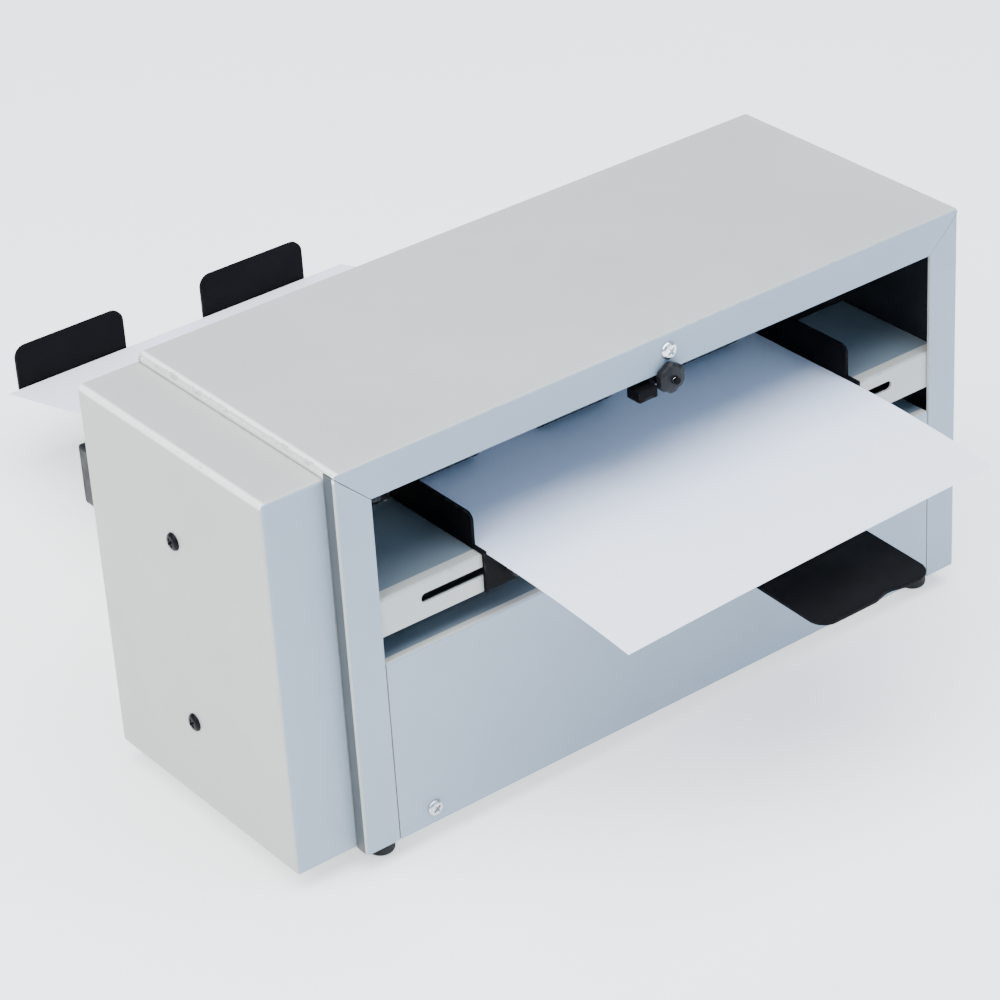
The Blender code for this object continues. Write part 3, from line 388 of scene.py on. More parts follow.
def nylon(name):
    """Natural nylon with patches of dark grease."""
    n = Nodes(name)
    grease = n.noise(150.0, 4.0, 0.6)
    shade = n.mix(n.span(grease, 0.45, 0.75, 0.0, 0.7), (0.78, 0.75, 0.66), (0.42, 0.36, 0.26))
    n.set("Base Color", shade)
    n.set("Roughness", n.span(grease, 0.3, 0.8, 0.50, 0.26))
    n.set("Subsurface Weight", 0.08)
    n.set("Subsurface Radius", (0.003, 0.002, 0.001))
    n.set("Normal", n.bump(n.noise(800.0, 2.0), 0.00003, 0.3))
    return n.material


def card(name, colour, inner):
    """Smooth card stock: fibre mottle, fine tooth, and a painted blue reflection around and just inside
    the housing's front.
    """
    n = Nodes(name)
    fibre = n.noise(1.0, 4.0, 0.65, n.stretch((900.0, 420.0, 900.0)))
    cloud = n.noise(60.0, 3.0, 0.5)
    depth = n.split(n.place)[1]
    wander = n.math("ADD", depth, n.span(n.noise(9.0, 2.0, 0.5), 0.3, 0.7, -0.018, 0.018))
    # Painted blue reflection: the card turns blue towards the housing's front and stays faintly blue
    # further inside.
    cool = n.span(wander, CORNER.y - 0.075, CORNER.y + 0.020)
    cool = n.math("MULTIPLY", cool, n.span(depth, CORNER.y + 0.060, CORNER.y + 0.160, 1.0, 0.12))
    tone = n.mix(cool, colour, inner)
    # The fibre mottle also takes on the colour of the painted blue reflection.
    shade = n.mix(n.span(fibre, 0.35, 0.7, 0.0, 0.16), tone, tinted(inner, 0.97))
    shade = n.mix(n.span(cloud, 0.3, 0.7, 0.0, 0.06), shade, (0.95, 0.95, 0.98))
    n.set("Base Color", shade)
    n.set("Roughness", n.span(fibre, 0.3, 0.7, 0.55, 0.70))
    n.set("Specular IOR Level", 0.35)
    n.set("Sheen Weight", 0.06)
    tooth = n.bump(fibre, 0.00003, 0.35)
    n.set("Normal", n.bump(n.noise(14.0, 2.0, 0.4), 0.0012, 0.12, tooth))
    return n.material


# Shared finishes --------------------------------------------------------------------------------

PUTTY = (0.430, 0.432, 0.412)
COVER_PUTTY = (0.420, 0.424, 0.402)
# Darker, bluer putty for faces that look to the front: painted shade
FRONT_SHADE_PUTTY = (0.280, 0.338, 0.410)
# Dark grey painted shadow for the strip of wall beside the end cover
PAINTED_SHADOW_GREY = (0.075, 0.084, 0.092)
# Dark blue-grey painted shade for the decks inside the openings
DECK_PAINTED_SHADE = (0.150, 0.190, 0.230)
CARD_WHITE = (0.86, 0.88, 0.965)
# Colour of the painted blue reflection on the card around the housing's front
PAINTED_BLUE_REFLECTION = (0.72, 0.79, 1.0)

RUBBER = rubber("black_rubber")
ROLLER_RUBBER = rubber("roller_rubber", (0.055, 0.055, 0.058), 0.45)
PLASTIC = plastic("black_plastic", (0.007, 0.007, 0.009))
ROCKER_PLASTIC = plastic("rocker_plastic", (0.030, 0.030, 0.033), 0.30, 2400.0)
ZINC = zinc("zinc_plate")
CHROME = chrome("screw_chrome")
NYLON = nylon("natural_nylon")
CARD = card("card_stock", CARD_WHITE, PAINTED_BLUE_REFLECTION)
TURNED_STEEL = brushed("turned_steel", (0.60, 0.60, 0.61), 0.24, (1.0, 0.02, 0.02))
SCREW_STEEL = brushed("screw_steel", (0.58, 0.58, 0.60), 0.28, (0.6, 0.6, 0.6))
DARK_SCREW = brushed("blackened_screw", (0.012, 0.012, 0.014), 0.42, (0.6, 0.6, 0.6))
PLATE_BLACK = powder_coat("plate_black", CAD_BOUNDS, (0.012, 0.013, 0.016))
KNIFE_STEEL = brushed("knife_steel", (0.66, 0.66, 0.68), 0.18, (0.02, 1.0, 1.0))


# Geometry ---------------------------------------------------------------------------------------


def new_piece(name, shape):
    """Object from a bmesh whose points are in housing coordinates."""
    bmesh.ops.remove_doubles(shape, verts=shape.verts, dist=0.0000005)
    bmesh.ops.recalc_face_normals(shape, faces=shape.faces)
    mesh = bpy.data.meshes.new(name)
    shape.to_mesh(mesh)
    shape.free()
    mesh.transform(Matrix.Translation(CORNER))
    piece = bpy.data.objects.new(name, mesh)
    COLLECTION.objects.link(piece)
    return piece


def block(low, high):
    """Plain block between two corners, as a bmesh."""
    shape = bmesh.new()
    bmesh.ops.create_cube(shape, size=1.0)
    bmesh.ops.scale(shape, vec=high - low, verts=shape.verts)
    bmesh.ops.translate(shape, vec=(low + high) / 2, verts=shape.verts)
    return shape


def apply_modifiers(piece):
    """Replace a piece's mesh with what its modifiers make of it."""
    bpy.context.view_layer.update()
    graph = bpy.context.evaluated_depsgraph_get()
    mesh = bpy.data.meshes.new_from_object(piece.evaluated_get(graph))
    old = piece.data
    piece.modifiers.clear()
    piece.data = mesh
    mesh.name = piece.name
    bpy.data.meshes.remove(old)


def bevel(piece, width, segments=2, angle=50.0):
    """Round the edges that are sharper than an angle in degrees."""
    modifier = piece.modifiers.new("bevel", "BEVEL")
    modifier.width = width
    modifier.segments = segments
    modifier.limit_method = "ANGLE"
    modifier.angle_limit = radians(angle)
    modifier.miter_outer = "MITER_ARC"


def combine(piece, other, operation):
    """Boolean of two pieces; the other one is then deleted."""
    modifier = piece.modifiers.new("combine", "BOOLEAN")
    modifier.operation = operation
    modifier.solver = "EXACT"
    modifier.object = other
    apply_modifiers(piece)
    bpy.data.objects.remove(other, do_unlink=True)


def dress(piece, material, body="housing", nodes=(), sharp=38.0):
    """Smooth a piece, give it its material, and make it ride on its body."""
    apply_modifiers(piece)
    mesh = piece.data
    mesh.materials.clear()
    mesh.materials.append(material)
    mesh.polygons.foreach_set("use_smooth", [True] * len(mesh.polygons))
    mesh.set_sharp_from_angle(angle=radians(sharp))
    modifier = piece.modifiers.new("even_normals", "WEIGHTED_NORMAL")
    modifier.keep_sharp = True
    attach(piece, body)
    if nodes:
        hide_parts(*nodes)


def refinish(node, material):
    """Give a node that shows as the frame has it a material of its own."""
    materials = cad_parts[node].data.materials
    materials.clear()
    materials.append(material)


def box_of(piece):
    """Lowest and highest corner of a piece that isn't moved or turned."""
    points = [vertex.co for vertex in piece.data.vertices]
    low = Vector(min(point[axis] for point in points) for axis in range(3))
    high = Vector(max(point[axis] for point in points) for axis in range(3))
    return low, high


def skin(name, loops, caps=True):
    """Surface through a stack of equal closed loops of points."""
    shape = bmesh.new()
    rows = [[shape.verts.new(point) for point in loop] for loop in loops]
    count = len(rows[0])
    for lower, upper in zip(rows, rows[1:]):
        for index in range(count):
            other = (index + 1) % count
            shape.faces.new((lower[index], lower[other], upper[other], upper[index]))
    if caps:
        shape.faces.new(list(reversed(rows[0])))
        shape.faces.new(rows[-1])
    return new_piece(name, shape)


# Turns that carry a lathe's own height, along Z, to each direction
AXES = {
    "X": Matrix(((0, 0, 1), (1, 0, 0), (0, 1, 0))),
    "-X": Matrix(((0, 0, -1), (1, 0, 0), (0, -1, 0))),
    "-Y": Matrix(((0, -1, 0), (0, 0, -1), (1, 0, 0))),
    "Z": Matrix(((1, 0, 0), (0, 1, 0), (0, 0, 1))),
    "-Z": Matrix(((1, 0, 0), (0, -1, 0), (0, 0, -1))),
}


def rounded_corners(points, radius, steps=3):
    """Round the inner corners of an open 2-D path, each by radius or less where it is short."""
    result = [Vector(points[0])]
    for before, corner, after in zip(points, points[1:], points[2:]):
        before, corner, after = Vector(before), Vector(corner), Vector(after)
        back, on = before - corner, after - corner
        reach = min(radius, 0.45 * back.length, 0.45 * on.length)
        start = corner + back.normalized() * reach
        end = corner + on.normalized() * reach
        for step in range(steps + 1):
            share = step / steps
            first = start.lerp(corner, share)
            second = corner.lerp(end, share)
            result.append(first.lerp(second, share))
    result.append(Vector(points[-1]))
    return result


def lathe(name, centre, axis, profile, steps=64, edge=0.00025, flutes=0, depth=0.0, above=0.0):
    """Turned piece from (radius, height) pairs; flutes cut depth into radii greater than above."""
    path = rounded_corners(profile, edge) if edge else [Vector(point) for point in profile]
    turn = AXES[axis]
    centre = Vector(centre)
    loops = []
    for radius, height in path:
        loop = []
        for step in range(steps):
            angle = 2 * pi * step / steps
            size = radius
            if flutes and radius > above:
                size -= depth * (0.5 - 0.5 * cos(flutes * angle)) ** 1.5
            loop.append(centre + turn @ Vector((size * cos(angle), size * sin(angle), height)))
        loops.append(loop)
    return skin(name, loops, caps=False)


def bent_path(points, thickness, radius, tight=0.0005, steps=6):
    """Outer and inner line of a folded sheet whose outer face, left of the path, follows points."""
    outer, inner = [], []

    def add(point, normal):
        outer.append(point)
        inner.append(point - normal * thickness)

    first = (Vector(points[1]) - Vector(points[0])).normalized()
    add(Vector(points[0]), Vector((-first.y, first.x)))
    for before, corner, after in zip(points, points[1:], points[2:]):
        before, corner, after = Vector(before), Vector(corner), Vector(after)
        way_in = (corner - before).normalized()
        way_out = (after - corner).normalized()
        turning = atan2(way_in.cross(way_out), way_in.dot(way_out))
        if abs(turning) < 0.000001:
            add(corner, Vector((-way_in.y, way_in.x)))
            continue
        size = radius if turning < 0 else tight
        reach = size * tan(abs(turning) / 2)
        side = 1 if turning > 0 else -1
        start = corner - way_in * reach
        normal = Vector((-way_in.y, way_in.x))
        middle = start + normal * size * side
        for step in range(steps + 1):
            turn = Matrix.Rotation(turning * step / steps, 2)
            add(middle - side * (turn @ normal) * size, turn @ normal)
    last = (Vector(points[-1]) - Vector(points[-2])).normalized()
    add(Vector(points[-1]), Vector((-last.y, last.x)))
    return outer, inner


def folded(name, points, thickness, radius, start, end, along, edge=0.0002, tight=0.0005):
    """Folded sheet: a bent path drawn in the plane across along, and run from start to end."""
    outer, inner = bent_path(points, thickness, radius, tight)
    order = {"X": (2, 0, 1), "Z": (0, 1, 2)}[along]

    def spot(point, limit):
        far = limit(point.x, point.y) if callable(limit) else limit
        values = (point.x, point.y, far)
        return Vector([values[index] for index in order])

    shape = bmesh.new()
    grid = [[shape.verts.new(spot(point, limit)) for point in line]
            for limit in (start, end) for line in (outer, inner)]
    low_outer, low_inner, high_outer, high_inner = grid
    for index in range(len(outer) - 1):
        for first, second in (
            (low_outer, high_outer),
            (high_inner, low_inner),
            (low_inner, low_outer),
            (high_outer, high_inner),
        ):
            shape.faces.new((first[index], second[index], second[index + 1], first[index + 1]))
    for index in (0, -1):
        corners = [low_outer[index], high_outer[index], high_inner[index], low_inner[index]]
        shape.faces.new(corners)
    piece = new_piece(name, shape)
    if edge:
        bevel(piece, edge)
    return piece


def plate(name, loops, thickness, to_housing, edge=0.0002, segments=2):
    """Flat plate from closed 2-D loops, the rest of which are holes in the first."""
    curve = bpy.data.curves.new(name, "CURVE")
    curve.dimensions = "2D"
    curve.fill_mode = "BOTH"
    curve.extrude = thickness / 2
    for loop in loops:
        spline = curve.splines.new("POLY")
        spline.points.add(len(loop) - 1)
        for point, (across, up) in zip(spline.points, loop):
            point.co = (across, up, 0.0, 1.0)
        spline.use_cyclic_u = True
    drawn = bpy.data.objects.new(name + "_drawn", curve)
    COLLECTION.objects.link(drawn)
    bpy.context.view_layer.update()
    graph = bpy.context.evaluated_depsgraph_get()
    mesh = bpy.data.meshes.new_from_object(drawn.evaluated_get(graph))
    bpy.data.objects.remove(drawn, do_unlink=True)
    bpy.data.curves.remove(curve)
    shape = bmesh.new()
    shape.from_mesh(mesh)
    bpy.data.meshes.remove(mesh)
    bmesh.ops.remove_doubles(shape, verts=shape.verts, dist=0.000001)
    bmesh.ops.dissolve_limit(shape, angle_limit=radians(1.0), verts=shape.verts, edges=shape.edges)
    bmesh.ops.transform(shape, matrix=to_housing, verts=shape.verts)
    piece = new_piece(name, shape)
    if edge:
        bevel(piece, edge, segments)
    return piece


def standing(x):
    """Turns a plate drawn in (y, z) so that it stands across X at x."""
    return Matrix(((0, 0, 1, x), (1, 0, 0, 0), (0, 1, 0, 0), (0, 0, 0, 1)))


def facing(y):
    """Turns a plate drawn in (x, z) so that it faces -Y at y."""
    return Matrix(((1, 0, 0, 0), (0, 0, -1, y), (0, 1, 0, 0), (0, 0, 0, 1)))


def circle(radius, steps, centre):
    angles = [2 * pi * step / steps for step in range(steps)]
    return [(centre[0] + radius * cos(angle), centre[1] + radius * sin(angle)) for angle in angles]


def rounded_rectangle(low, high, radii, steps=8):
    """Closed 2-D loop; its corner radii run anticlockwise from the low corner."""
    corners = (
        (low[0], low[1], 1, 1, pi),
        (high[0], low[1], -1, 1, 1.5 * pi),
        (high[0], high[1], -1, -1, 0.0),
        (low[0], high[1], 1, -1, 0.5 * pi),
    )
    points = []
    for (x, y, side_x, side_y, start), radius in zip(corners, radii):
        if radius == 0:
            points.append((x, y))
            continue
        for step in range(steps + 1):
            angle = start + 0.5 * pi * step / steps
            across = x + side_x * radius + radius * cos(angle)
            up = y + side_y * radius + radius * sin(angle)
            points.append((across, up))
    return points


def box(name, low, high, edge=0.0004, segments=3):
    """Piece with rounded edges between two corners."""
    piece = new_piece(name, block(Vector(low), Vector(high)))
    if edge:
        bevel(piece, edge, segments)
    return piece


# Housing ----------------------------------------------------------------------------------------


def painted(piece, nodes, colour=PUTTY, polished=0.0):
    """Paint a steel piece; its edge wear follows its own box, and its front faces get a darker, bluer
    copy of the paint as painted shade.
    """
    apply_modifiers(piece)
    extent = box_of(piece)
    dress(piece, paint(piece.name + "_paint", colour, extent, polished=polished), nodes=nodes)
    # Faces that look to the front get the darker, bluer copy of the paint: painted shade.
    piece.data.materials.append(paint(piece.name + "_front_paint", FRONT_SHADE_PUTTY, extent))
    for face in piece.data.polygons:
        if face.normal.y < FRONT_FACING:
            face.material_index = 1
    return piece


def side_panels():
    """End walls, each folded inwards to a mitred front jamb and a lower rear flange."""
    fall = (BORDER - STEEL) / (BORDER - GAP)
    notch = DEPTH - STEEL - 2 * GAP

    def top(mirror):
        def height(x, y):
            reach = LENGTH - x if mirror else x
            if y < STEEL + 0.0001 and reach > 0:
                return WALL_TOP - reach * fall
            if y > notch + 0.00005:
                return REAR_FLANGE_BOTTOM - GAP
            return WALL_TOP
        return height

    path = [
        (BORDER - GAP, 0.0), (0.0, 0.0), (0.0, COVER_LOW.y), (0.0, notch), (0.0, notch + 0.0001),
        (0.0, DEPTH), (BORDER - GAP, DEPTH),
    ]
    for side in ("left", "right"):
        mirror = side == "right"
        line = [(LENGTH - x, y) for x, y in reversed(path)] if mirror else path
        name = "side_panel_" + side
        panel = folded(name + "_shell", line, STEEL, FOLD, 0.0, top(mirror), "Z")
        # The left panel's upper left edge gets a pale painted highlight.
        painted(panel, [name], polished=0.0 if mirror else 0.9)
        if not mirror:
            # The strip of the left wall between its front edge and the end cover gets a dark grey painted
            # shadow.
            second_paint(panel, paint("strip_shadow_paint", PAINTED_SHADOW_GREY, box_of(panel)), 0.0016, COVER_LOW.y)


def top_cover():
    """Top of the housing with its mitred front border and its rear flange."""
    spread = (BORDER - 2 * GAP) / (BORDER - STEEL - GAP)
    low_z = HEIGHT - BORDER

    def left(y, z):
        if y < 0.0016 and z < WALL_TOP:
            return GAP + (WALL_TOP - z) * spread
        return GAP

    def right(y, z):
        return LENGTH - left(y, z)

    path = [(0.0, low_z), (0.0, HEIGHT), (DEPTH, HEIGHT), (DEPTH, REAR_FLANGE_BOTTOM)]
    cover = folded("top_cover_shell", path, STEEL, FOLD, left, right, "X")
    # The top's upper left edge gets a pale painted highlight.
    painted(cover, ["top_cover"], polished=0.9)


def lower_panels():
    """Front and rear panels, each folded inwards along its top; the front one's deck is painted dark
    blue-grey as shade.
    """
    start, end = BORDER + GAP, LENGTH - BORDER - GAP
    deck = housing_box("front_panel")[1].y
    path = [(0.0, 0.0), (0.0, PANEL_TOP), (DECK_START, PANEL_TOP), (deck, PANEL_TOP)]
    front = folded("front_panel_shell", path, STEEL, FOLD, start, end, "X")
    painted(front, ["front_panel"])
    # The front panel's top behind its edge gets a dark blue-grey painted shade.
    second_paint(front, paint("lower_deck_shade_paint", DECK_PAINTED_SHADE, box_of(front)), DECK_START)
    path = [(DEPTH - REAR_PANEL_FOLD, REAR_TOP), (DEPTH, REAR_TOP), (DEPTH, 0.0)]
    painted(folded("rear_panel_shell", path, STEEL, FOLD, start, end, "X"), ["rear_panel"])


def second_paint(piece, material, start, end=1.0):
    """Another paint on the faces whose middles lie between two depths."""
    piece.data.materials.append(material)
    index = len(piece.data.materials) - 1
    for face in piece.data.polygons:
        if start < face.center.y - CORNER.y < end:
            face.material_index = index


def end_cover():
    """Pressed cover of the drive, open towards the housing, with openings for inlet and switch."""
    low, high = COVER_LOW, COVER_HIGH
    shape = block(low, high)
    doomed = [face for face in shape.faces if face.normal.x > 0.9]
    bmesh.ops.delete(shape, geom=doomed, context="FACES")
    shell = new_piece("end_cover_shell", shape)
    first = shell.data.polygons[0]
    if first.normal.dot(first.center - at(*((low + high) / 2))) < 0:
        shell.data.flip_normals()
    bevel(shell, COVER_EDGE, 6, 30.0)
    thick = shell.modifiers.new("thickness", "SOLIDIFY")
    thick.thickness = STEEL
    thick.offset = -1
    thick.use_even_offset = True
    thick.use_quality_normals = True
    apply_modifiers(shell)
    for node in ("mains_inlet", "switch_frame"):
        first, second = housing_box(node)
        lower = (first.x - GAP, high.y - 0.004, first.z - GAP)
        upper = (second.x + GAP, high.y + 0.004, second.z + GAP)
        combine(shell, box("cover_opening", lower, upper, 0.0), "DIFFERENCE")
    # The end cover's upper left edge gets a pale painted highlight.
    painted(shell, ["end_cover"], COVER_PUTTY, polished=0.8)


def underside():
    """The base pan stays as the frame has it, with its own paint."""
    refinish("base_pan", paint("base_pan_paint", PUTTY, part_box("base_pan")))


# Screws and feet --------------------------------------------------------------------------------


def cross_recess(centre, axis, size, depth):
    """Cutter for a cross recess that starts just above centre and tapers into the head."""
    turn = AXES[axis]
    centre = Vector(centre)
    half, slim = size / 2, size * 0.14
    outline = []
    for quarter in range(4):
        rotate = Matrix.Rotation(quarter * pi / 2 + pi / 5, 2)
        for corner in ((slim, slim), (slim, half), (-slim, half)):
            outline.append(rotate @ Vector(corner))
    loops = []
    for height, scale in ((-depth, 0.42), (-depth * 0.4, 0.86), (0.0006, 1.0)):
        loops.append([centre + turn @ Vector((*(point * scale), height)) for point in outline])
    return skin("recess", loops)


def pan_screw(name, node, axis, radius, material):
    """Pan-head screw with a cross recess, on the surface that its axis points out of."""
    low, high = housing_box(node)
    centre = [(low[index] + high[index]) / 2 for index in range(3)]
    surface = {"X": LENGTH, "-X": COVER_LOW.x, "-Y": 0.0}
    centre["XYZ".index(axis[-1])] = surface[axis]
    profile = [
        (0.0, SCREW_HEAD), (radius * 0.35, SCREW_HEAD * 0.985), (radius * 0.72, SCREW_HEAD * 0.86),
        (radius * 0.94, SCREW_HEAD * 0.52), (radius, SCREW_HEAD * 0.14), (radius, 0.00005),
        (0.0016, 0.00005), (0.0016, -SCREW_SHANK), (0.0, -SCREW_SHANK),
    ]
    screw = lathe(name, centre, axis, profile, 56, 0.0003)
    head = Vector(centre) + AXES[axis] @ Vector((0.0, 0.0, SCREW_HEAD))
    combine(screw, cross_recess(head, axis, radius * 1.15, 0.0014), "DIFFERENCE")
    dress(screw, material, nodes=[node], sharp=30.0)


def screws():
    for level in ("upper", "lower"):
        pan_screw("cover_screw_" + level, "end_cover_screw_" + level, "-X", 0.0043,
                  DARK_SCREW)
        pan_screw("side_screw_" + level, "side_panel_screw_" + level, "X", 0.0042,
                  SCREW_STEEL)
    for side in ("left", "right"):
        pan_screw("panel_screw_" + side, "front_panel_screw_" + side, "-Y", 0.0040,
                  SCREW_STEEL)
    pan_screw("border_screw", "fascia_screw", "-Y", 0.0043, CHROME)


def feet():
    """Rubber feet, each turned and recessed around its screw head."""
    for end in ("front", "rear"):
        for side in ("left", "right"):
            node = "foot_{}_{}".format(end, side)
            low, high = housing_box(node)
            x, y, bottom = (low.x + high.x) / 2, (low.y + high.y) / 2, low.z
            radius = (high.x - low.x) / 2
            profile = [
                (0.0021, -GAP), (radius * 0.94, -GAP), (radius, -0.0022), (radius * 0.985, -0.0034),
                (radius * 0.90, -0.0040), (radius * 0.86, bottom + 0.0012), (radius * 0.76, bottom),
                (0.0042, bottom), (0.0040, bottom + 0.0030), (0.0, bottom + 0.0030),
            ]
            foot = lathe(node + "_rubber", (x, y, 0.0), "Z", profile, 56, 0.0006)
            dress(foot, RUBBER, nodes=[node])
            profile = [(0.0, 0.0014), (0.0022, 0.0012), (0.0032, 0.0004), (0.0032, 0.0), (0.0, 0.0)]
            head = lathe(node + "_screw", (x, y, bottom + 0.0030), "-Z", profile, 40)
            dress(head, SCREW_STEEL)


# Feed table, guides and lever -------------------------------------------------------------------


def feed_table():
    """Feed table: its slotted front edge and front lip are putty, the deck behind them painted dark
    blue-grey as shade.
    """
    low, high = TABLE_LOW, TABLE_HIGH
    path = [(low.y, low.z), (low.y, high.z), (TABLE_LIP, high.z), (high.y, high.z)]
    table = folded("table_deck", path, TABLE_STEEL, FOLD, low.x, high.x, "X")
    half = SLOT_HEIGHT / 2
    corners = (half * 0.98,) * 4
    points = rounded_rectangle((SLOT_END, SLOT_Z - half), (LENGTH - SLOT_END, SLOT_Z + half), corners)
    cutter = plate("slot_cutter", [points], 0.006, facing(low.y + 0.001), 0.0)
    apply_modifiers(table)
    combine(table, cutter, "DIFFERENCE")
    table_box = box_of(table)
    dress(table, paint("crossbar_paint", PUTTY, table_box), nodes=["feed_table"])
    # The deck behind the lip gets a dark blue-grey painted shade, with worn edges.
    deck_paint = paint("table_paint", DECK_PAINTED_SHADE, table_box, 0.40, 1.0, (0.42, 0.43, 0.44))
    second_paint(table, deck_paint, TABLE_LIP)


def guide_profile(low, high):
    """Side view of a guide: wall on the deck, low neck in front of it, stem over the crossbar."""
    deck, neck = TABLE_HIGH.z + GAP, TABLE_HIGH.z + 2.0 * MM
    radii = (0.0, 0.0, GUIDE_TOP_CORNER, GUIDE_TOP_CORNER)
    wall = rounded_rectangle((GUIDE_FRONT, deck), (high.y, high.z), radii)
    return [(low.y, neck), (low.y, low.z), (low.y + STEEL, low.z), (low.y + STEEL, deck), *wall[1:],
            (GUIDE_FRONT, neck)]


def side_guides():
    """Black guides: a wall on the deck and a foot over the crossbar, held by a thumb knob."""
    sheet = housing_box("feed_sheet")
    for side, outward in (("left", -1), ("right", 1)):
        node = "guide_" + side
        low, high = housing_box(node)
        wall = sheet[0].x - GAP if outward < 0 else sheet[1].x + GAP
        middle = wall + outward * STEEL / 2
        guide = plate(node + "_wall", [guide_profile(low, high)], STEEL, standing(middle), 0.0)
        left, right = sorted((wall - outward * GUIDE_FOOT, middle))
        radii = [GUIDE_CORNER if (corner in (1, 2)) == (outward < 0) else 0.0 for corner in range(4)]
        outline = rounded_rectangle((left, low.z + 0.0005), (right, TABLE_HIGH.z - GAP), radii)
        knob_x = wall - outward * GUIDE_KNOB
        loops = [outline, circle(0.0020, 32, (knob_x, SLOT_Z))]
        foot = plate(node + "_foot", loops, STEEL - 0.0002, facing(low.y + STEEL / 2), 0.0)
        combine(guide, foot, "UNION")
        bevel(guide, 0.0002)
        dress(guide, powder_coat(node + "_coat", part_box(node)), side + "_guide", [node])
        guide_knob(side, knob_x)


def guide_knob(side, x):
    """Fluted thumb knob, with its stem in the crossbar's slot."""
    profile = [
        (0.0, 0.0066), (0.0040, 0.0066), (0.0052, 0.0060), (0.0056, 0.0048), (0.0056, 0.0018),
        (0.0050, 0.0008), (0.0042, 0.0), (0.0016, 0.0), (0.0016, -0.0060), (0.0, -0.0060),
    ]
    node = "guide_{}_knob".format(side)
    knob = lathe(node + "_cap", (x, -GAP, SLOT_Z), "-Y", profile, 96, 0.0004, 16, 0.0005, 0.0045)
    dress(knob, PLASTIC, side + "_guide_knob", [node])


def hold_down():
    """Stud, swinging lever and fluted knob under the middle of the front border."""
    refinish("lever_bracket", powder_coat("bracket_coat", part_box("lever_bracket")))
    low, high = housing_box("hold_down_lever")
    top = LEVER_Z - 0.0006
    arm = box("lever_arm", (low.x, low.y, LEVER_Z - 0.0062), (LEVER_X - 0.0080, high.y, top), 0.0006)
    web_low = (LEVER_X - 0.0100, high.y - 0.0018, LEVER_Z - 0.0045)
    web = box("lever_web", web_low, (LEVER_X, high.y, top), 0.0003)
    profile = [(0.0020, 0.0018), (0.0050, 0.0018), (0.0050, 0.0), (0.0020, 0.0), (0.0020, 0.0018)]
    eye = lathe("lever_eye", (LEVER_X, high.y, LEVER_Z), "-Y", profile, 48, 0.0002)
    coat = powder_coat("lever_coat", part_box("hold_down_lever"))
    for piece in (arm, web, eye):
        dress(piece, coat, "lever", ["hold_down_lever"])
    low, high = housing_box("hold_down_knob")
    middle = (low.y + high.y) / 2
    half = (high.y - low.y) / 2
    profile = [
        (0.0019, half), (0.0040, half), (0.0062, half - 0.0004), (0.0073, half - 0.0014),
        (0.0073, 0.0006 - half), (0.0062, -half), (0.0019, -half), (0.0019, half),
    ]
    centre = (LEVER_X, middle, LEVER_Z)
    knob = lathe("hold_down_knob_cap", centre, "-Y", profile, 120, 0.0003, 6, 0.0006, 0.0056)
    dress(knob, PLASTIC, "lever_knob", ["hold_down_knob"])
    profile = [(0.0, 0.0014), (0.0010, 0.0012), (0.0016, 0.0006), (0.0016, 0.0), (0.0, 0.0)]
    tip = lathe("stud_tip", (LEVER_X, low.y - 0.0002, LEVER_Z), "-Y", profile, 40)
    dress(tip, CHROME)


# Catch tray, catch plate and sheets -------------------------------------------------------------


def tray_height(y):
    """Height of the tray's sloping surface at a depth."""
    return TRAY_END_HEIGHT + (TRAY_END - y) * TRAY_SLOPE


def rear_tray():
    """Two black fingers folded up into stops with rounded corners, and their bracket."""
    top = TRAY_END_HEIGHT + STOP_HEIGHT
    end = TRAY_END + GAP
    for side in ("left", "right"):
        node = "rear_finger_" + side
        low, high = housing_box(node)
        path = [(low.y, tray_height(low.y) - GAP), (end, tray_height(end) - GAP), (end, top)]
        finger = folded(node + "_strip", path, FINGER_STEEL, FINGER_FOLD, low.x, high.x, "X", 0.0, 0.0008)
        apply_modifiers(finger)
        combine(finger, stop_cutter(low.x, high.x, top, end), "DIFFERENCE")
        bevel(finger, 0.0003)
        dress(finger, powder_coat(node + "_coat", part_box(node)), side + "_finger", [node])
    refinish("tray_bracket", powder_coat("bracket_shelf_coat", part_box("tray_bracket")))


def stop_cutter(left, right, top, y):
    """Everything around the two upper corners of a stop, which it rounds off."""
    margin = 10.0 * MM
    corner_z = top - STOP_CORNER
    radii = (0.0, 0.0, STOP_CORNER, STOP_CORNER)
    arc = rounded_rectangle((left, top - 30.0 * MM), (right, top), radii, 10)
    arc = [point for point in arc if point[1] > corner_z - 0.0001]
    outline = [(right + margin, corner_z), *arc, (left - margin, corner_z),
               (left - margin, top + margin), (right + margin, top + margin)]
    return plate("corner_cutter", [outline], 20.0 * MM, facing(y), 0.0)


def catch_plate():
    """Flat black plate in the lower slot, with rounded corners and a shallow thumb notch."""
    node = "front_catch_plate"
    low, high = housing_box(node)
    front, rear = low.y / cos(CATCH_TILT), high.y / cos(CATCH_TILT)
    steps = 12
    radii = (CATCH_CORNER, CATCH_CORNER, 0.0, 0.0)
    points = rounded_rectangle((low.x, front), (high.x, rear), radii, steps)
    notch = []
    for step in range(1, 16):
        share = step / 16
        across = NOTCH_X + NOTCH_WIDTH * (share - 0.5)
        notch.append((across, front + NOTCH_DEPTH * sin(pi * share) ** 2))
    outline = [*points[:steps + 1], *notch, *points[steps + 1:]]
    matrix = Matrix.Translation((0.0, 0.0, CATCH_Z)) @ Matrix.Rotation(CATCH_TILT, 4, "X")
    piece = plate("catch_plate_sheet", [outline], CATCH_STEEL, matrix, 0.0004, 3)
    dress(piece, powder_coat("catch_coat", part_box(node)), "catch_plate", [node])


